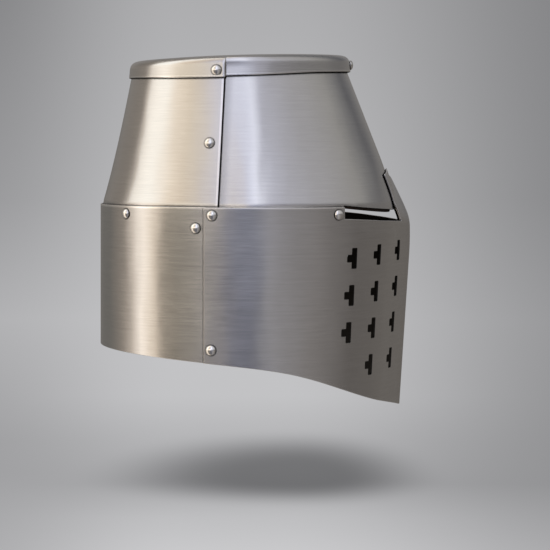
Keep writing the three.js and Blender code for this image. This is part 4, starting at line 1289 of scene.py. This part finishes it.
def leather(name, dark, light, roughness, seed):
    material, tree, shader = new_material(name)
    cloud = object_noise(tree, EVEN, 4.0, 0.6, size=HIDE.cloud, seed=seed)
    fibre = object_noise(tree, EVEN, 5.0, 0.7, size=HIDE.fibre, seed=seed + 5)
    cells = node(tree, "ShaderNodeTexVoronoi", {"Vector": coordinates(tree), "Scale": HIDE.cells})
    colour = colour_mix(tree, between(tree, cloud, 0.0, 1.0, *MIDDLE_SPAN), dark, light)
    colour = colour_mix(tree, between(tree, fibre, 0.0, HIDE.share, *HIDE.span), colour, dark)
    grain = bump(tree, cells.outputs["Distance"], *GRAIN_BUMP)
    rough = between(tree, cloud, roughness - HIDE.rough, roughness + HIDE.rough, *MIDDLE_SPAN)
    crease = bump(tree, fibre, *FIBRE_BUMP, grain)
    feed(tree, shader, {"Base Color": colour, "Roughness": rough, "Normal": crease})
    return material


def brass(name, light, dark):
    material, tree, shader = new_material(name)
    cloud = object_noise(tree, EVEN, 4.0, 0.6, size=TARNISH.size)
    colour = colour_mix(tree, between(tree, cloud, 0.0, 1.0, *TARNISH.span), light, dark)
    rough = between(tree, cloud, *TARNISH.rough, *TARNISH.span)
    feed(tree, shader, {"Base Color": colour, "Metallic": 1.0, "Roughness": rough})
    return material


# Noise scales for each axis: streaks lie level round the walls, and front to rear over the cap.
WALL = Named(coarse=(14, 14, 900), fine=(60, 60, 3200))
OVER_CAP = Named(coarse=(900, 14, 14), fine=(3200, 60, 60))
CUT_FACE = Named(coarse=(200, 200, 200), fine=(900, 900, 900))
INNER = Named(coarse=(60, 60, 60), fine=(300, 300, 300))
HEADS = Named(coarse=(120, 120, 120), fine=(700, 700, 700))
EVEN = (1, 1, 1)
# What the noises do: a span is the stretch of a noise's values that counts, a rough the change of roughness.
STREAK = Named(coarse_share=0.35, fine_share=0.65, span=(0.35, 0.65), dark=0.93, light=1.055, rough=0.02)
CLOUD = Named(size=14, share=0.3, span=(0.45, 0.75), rough=(-0.015, 0.02))
WAVE = Named(scale=(1, 1, 0.5), size=30)
HIDE = Named(cloud=35, fibre=420, cells=900.0, share=0.5, span=(0.4, 0.8), rough=0.08)
TARNISH = Named(size=160, span=(0.35, 0.7), rough=(0.25, 0.45))
MIDDLE_SPAN = (0.3, 0.7)
WAVE_BUMP, STREAK_BUMP = (0.5, 0.0018), (0.12, 0.00002)        # strength and height in metres
GRAIN_BUMP, FIBRE_BUMP = (0.35, 0.00025), (0.3, 0.0003)
# Painted shade in narrow gaps and under edges, from ambient occlusion multiplied into the colour.
CREVICE_SHADE = Named(reach=0.0025, samples=8, darkest=0.02, span=(0.68, 0.88))
FOOT_CREVICE_SHADE = Named(darkest=0.3, levels=(FACE.top + 2, FACE.top + 12))
# Painted highlights: bright lines along the band's top edge and along the skull plates just above it.
EDGE_HIGHLIGHTS = Named(band=(FACE.top - 1.0, FACE.top + 2), band_shine=1.5,
             skull=(FACE.top - 2, FACE.top + 1.6), skull_shine=1.16, fade=0.5)
# Painted light at the side seam: the highlight behind it, the black shadow in the gap and the softer shade
# ahead of it.
SEAM_PAINTED_LIGHT = Named(gap=(0.9, 1.5), gap_shade=0.02, shadow=(1.5, 10.0), shadow_shade=0.72,
                  worn=(-2.4, -1.3), worn_shine=1.35)
STEEL_TINT, LIP_TINT = (0.62, 0.615, 0.61), (0.8, 0.795, 0.79)
CUT_TINT, INSIDE_SHADE_TINT, HEAD_TINT = (0.85, 0.84, 0.83), (0.03, 0.029, 0.028), (0.82, 0.81, 0.79)
wall_steel = steel("brushed_plate", WALL, STEEL_TINT, 0.23, 0.8, 0.0)
band_steel = steel("brushed_band", WALL, STEEL_TINT, 0.23, 0.8, 0.0, painted_light=band_painted_highlight)
lip_steel = steel("lighter_lip", WALL, LIP_TINT, 0.23, 0.8, 0.0, crevice_shade=False)
skull_steel = steel("brushed_skull", WALL, STEEL_TINT, 0.23, 0.8, 5.0, painted_light=seam_painted_light)
cap_steel = steel("brushed_cap", OVER_CAP, STEEL_TINT, 0.25, 0.0, 2.0)
cut_steel = steel("cut_edge", CUT_FACE, CUT_TINT, 0.3, 0.0, 4.0)
# Near-black steel on the insides and in the holes: painted shade standing in for the dark interior.
inside_shade_steel = steel("painted_shade_inside", INNER, INSIDE_SHADE_TINT, 0.65, 0.0, 6.0, crevice_shade=False)
rivet_steel = steel("rivet_head", HEADS, HEAD_TINT, 0.22, 0.0, 8.0)
liner_hide = leather("liner_hide", srgb(30, 19, 13), srgb(62, 42, 29), 0.7, 0.0)
strap_hide = leather("strap_hide", srgb(58, 33, 19), srgb(98, 60, 36), 0.5, 9.0)
lace_hide = leather("lace_hide", srgb(30, 20, 14), srgb(58, 40, 28), 0.6, 4.0)
strap_brass = brass("buckle_brass", srgb(196, 158, 92), srgb(138, 101, 52))

# ---------------------------------------------------------------- assembly

for node_name, plate, finish in (
        ("front_face_plate", face_sheet(), (band_steel, cut_steel, inside_shade_steel)),
        ("rear_neck_plate", neck_sheet(), (band_steel, cut_steel, inside_shade_steel)),
        ("rear_skull_plate", rear_skull_sheet(), (skull_steel, cut_steel, inside_shade_steel)),
        # The front skull plate's cut edges take the near-black inside steel too: painted shade.
        ("front_skull_plate", front_skull_sheet(), (skull_steel, inside_shade_steel, inside_shade_steel)),
        ("top_cap", cap_part(), (cap_steel, cut_steel, inside_shade_steel, wall_steel, lip_steel))):
    piece(node_name, [plate], finish, SHELL)
add_rivets()
liner_parts = [liner_band(), *(petal_sheet(index) for index in range(LINER.petals))]
right_keeper = keeper_part(-1, LEATHER, leg_centre, KEEPER.right_level)
fold_stack = 2 * LEATHER + STRAP.fold_gap
left_keeper = keeper_part(1, fold_stack, -STRAP.clear - fold_stack / 2, KEEPER.left_level)
for node_name, parts, finish, body, slot in (
        ("leather_liner", liner_parts, liner_hide, SHELL, "liner_leather"),
        ("liner_lace", [lace_part()], lace_hide, SHELL, "lace_leather"),
        ("chin_strap_right", [short_strap()], strap_hide, "strap_right", "strap_leather"),
        ("chin_strap_left", [long_strap()], strap_hide, "strap_left", "strap_leather"),
        ("strap_keeper_right", [right_keeper], strap_hide, "strap_right", "strap_leather"),
        ("strap_keeper_left", [left_keeper], strap_hide, "strap_left", "strap_leather"),
        ("buckle_frame", [buckle_part()], strap_brass, "buckle", "buckle_brass"),
        ("buckle_prong", prong_parts(), strap_brass, "prong", "buckle_brass")):
    piece(node_name, parts, [finish], body)

# ---------------------------------------------------------------- studio

scene = bpy.context.scene
scene.view_settings.view_transform = "Standard"


def colour_ramp(tree, value, stops):
    made = node(tree, "ShaderNodeValToRGB", {0: value})
    elements = made.color_ramp.elements
    while len(elements) < len(stops):
        elements.new(0.5)
    for element, (position, colour) in zip(elements, stops):
        element.position = position
        element.color = srgb(*colour)
    return made.outputs["Color"]


def ring(tree, turned, tones):
    return colour_ramp(tree, turned, [((azimuth + 180) / 360, tone) for azimuth, tone in tones])


def backdrop_column(tree, up, greys):
    return colour_ramp(tree, up, [(level, (grey, grey, grey + BACKDROP_BLUE)) for level, grey in greys])


def studio_world():
    """Soft boxes seen only in reflections, and a pale backdrop seen only by the camera, with painted light
    fall-off.
    """
    world = bpy.data.worlds.new("studio")
    scene.world = world
    world.use_nodes = True
    tree = world.node_tree
    tree.nodes.clear()
    x, y, z = split(tree, "Generated")
    azimuth = times(tree, calc(tree, "ARCTAN2", y, times(tree, x, -1.0)), 180 / math.pi)
    elevation = times(tree, calc(tree, "ARCSINE", z), 180 / math.pi)
    turned = between(tree, azimuth, 0.0, 1.0, -180.0, 180.0)
    low, middle, high = (ring(tree, turned, tones) for tones in (LOW_TONES, MIDDLE_RING, HIGH_TONES))
    to_middle = between(tree, elevation, 0.0, 1.0, *LOW_TO_MIDDLE, "SMOOTHSTEP")
    to_high = between(tree, elevation, 0.0, 1.0, *MIDDLE_TO_HIGH, "SMOOTHSTEP")
    total = colour_mix(tree, to_high, colour_mix(tree, to_middle, low, middle), high)
    lamp = node(tree, "ShaderNodeBackground", {"Color": total, "Strength": LAMP_STRENGTH})
    across, up, _ = split(tree, "Window")
    left, middle, right = (backdrop_column(tree, up, greys)
                           for greys in (LEFT_TONES, MIDDLE_TONES, RIGHT_TONES))
    from_left = between(tree, across, 0.0, 1.0, *LEFT_TO_MIDDLE, "SMOOTHSTEP")
    to_right = between(tree, across, 0.0, 1.0, *MIDDLE_TO_RIGHT, "SMOOTHSTEP")
    shown = colour_mix(tree, to_right, colour_mix(tree, from_left, left, middle), right)
    backdrop = node(tree, "ShaderNodeBackground", {"Color": shown, "Strength": 1.0})
    show(tree, "World", node(tree, "ShaderNodeLightPath").outputs["Is Camera Ray"], lamp, backdrop)


def show(tree, kind, share, first, second):
    """Gives a tree its output: a mix of two shaders."""
    both = node(tree, "ShaderNodeMixShader", {0: share, 1: first.outputs[0], 2: second.outputs[0]})
    node(tree, "ShaderNodeOutput" + kind, {"Surface": both.outputs[0]})


# Tones the steel takes on from its surroundings, by azimuth in degrees from the wearer's right
# towards the rear: a high ring, a middle ring and a low ring.
HIGH_TONES = [
    (-180, (125, 123, 122)), (-128, (84, 84, 87)), (-108, (116, 115, 115)), (-86, (147, 145, 142)),
    (-42, (160, 159, 162)), (-10, (182, 183, 194)), (4, (238, 240, 253)), (14, (204, 207, 225)),
    (22, (194, 193, 205)), (33, (186, 178, 173)), (47, (200, 184, 164)), (60, (230, 213, 194)),
    (72, (255, 253, 246)), (93, (255, 251, 242)), (97, (166, 157, 147)), (106, (122, 115, 107)),
    (122, (110, 104, 98)), (180, (125, 123, 122)),
]
MIDDLE_RING = [
    (-180, (110, 108, 106)), (-92, (104, 102, 102)), (-60, (58, 56, 56)), (-26, (78, 76, 81)),
    (-11, (134, 133, 146)), (0, (176, 180, 200)), (10, (216, 220, 240)), (20, (276, 264, 250)),
    (35, (278, 264, 240)), (67, (253, 240, 221)), (92, (244, 232, 218)), (103, (130, 122, 114)),
    (180, (110, 108, 106)),
]
LOW_TONES = [
    (-180, (96, 93, 90)), (-125, (96, 92, 88)), (-78, (88, 84, 81)), (-42, (118, 114, 112)),
    (-10, (131, 129, 130)), (2, (72, 72, 80)), (13, (64, 64, 74)), (30, (108, 105, 105)),
    (49, (80, 76, 70)), (57, (108, 99, 88)), (65, (212, 196, 177)), (76, (256, 244, 231)),
    (87, (172, 160, 148)), (96, (132, 123, 114)), (122, (98, 96, 92)), (180, (96, 93, 90)),
]
LOW_TO_MIDDLE = (1.0, 8.0)                     # elevations over which one ring passes into the next
MIDDLE_TO_HIGH = (10.0, 17.0)
LAMP_STRENGTH = 1.62
# Grey tones of the backdrop from the bottom of the view to its top: painted light fall-off, brightest in the
# middle column, darker to the right and towards the top, with a darker band low in the view as a painted
# shadow halo.
MIDDLE_TONES = [
    (0.0, 200), (0.06, 190), (0.12, 168), (0.2, 180), (0.28, 194), (0.42, 195), (0.64, 186), (1.0, 173),
]
LEFT_TONES = [(0.0, 173), (0.14, 160), (0.2, 160), (0.42, 177), (0.64, 153), (1.0, 134)]
RIGHT_TONES = [(0.0, 168), (0.12, 146), (0.2, 146), (0.42, 150), (0.64, 136), (1.0, 132)]
LEFT_TO_MIDDLE = (-0.06, 0.33)                 # places across the view over which one column passes
MIDDLE_TO_RIGHT = (0.5, 1.1)                   # into the next
BACKDROP_BLUE = 2

studio_world()

FLOOR = Named(level=-0.058, size=1.6)
SHADOW = Named(middle_x=-0.03, near=0.105, far=0.2, middle_y=-0.036, front=0.105, rear=0.155,
               core=0.25, edge=1.35, depth=0.66, grey=(60, 60, 62))


def two_sided(tree, value, middle, below, above):
    """Distance from a middle, as a share of one reach below it and of another above it."""
    offset = calc(tree, "SUBTRACT", value, middle)
    return calc(tree, "MAXIMUM", calc(tree, "DIVIDE", offset, above), calc(tree, "DIVIDE", offset, -below))


def shadow_floor():
    """A floor seen only as the helm's soft shadow."""
    bpy.ops.mesh.primitive_plane_add(size=FLOOR.size, location=(0, 0, FLOOR.level))
    floor = bpy.context.object
    floor.name = "shadow_floor"
    material, tree, _ = new_material("shadow")
    tree.nodes.clear()
    axes = split(tree, "Object")
    x = two_sided(tree, axes[0], SHADOW.middle_x, SHADOW.near, SHADOW.far)
    y = two_sided(tree, axes[1], SHADOW.middle_y, SHADOW.front, SHADOW.rear)
    distance = calc(tree, "SQRT", calc(tree, "ADD", times(tree, x, x), times(tree, y, y)))
    dark = between(tree, distance, SHADOW.depth, 0.0, SHADOW.core, SHADOW.edge, "SMOOTHERSTEP")
    clear = node(tree, "ShaderNodeBsdfTransparent")
    black = node(tree, "ShaderNodeEmission", {"Color": srgb(*SHADOW.grey), "Strength": 1.0})
    show(tree, "Material", dark, clear, black)
    floor.data.materials.append(material)
    floor.visible_diffuse = False
    floor.visible_glossy = False
    floor.visible_shadow = False
    floor.visible_transmission = False


shadow_floor()

CAMERA = Named(position=(-1.5, -0.01704, 0.2288), lens=112.32, sensor=36.0, shift=-0.2418)


def add_camera():
    data = bpy.data.cameras.new("camera")
    data.lens = CAMERA.lens
    data.sensor_width = CAMERA.sensor
    data.shift_y = CAMERA.shift
    camera = bpy.data.objects.new("camera", data)
    scene.collection.objects.link(camera)
    camera.location = CAMERA.position
    camera.rotation_euler = (math.pi / 2, 0, -math.pi / 2)
    scene.camera = camera


add_camera()
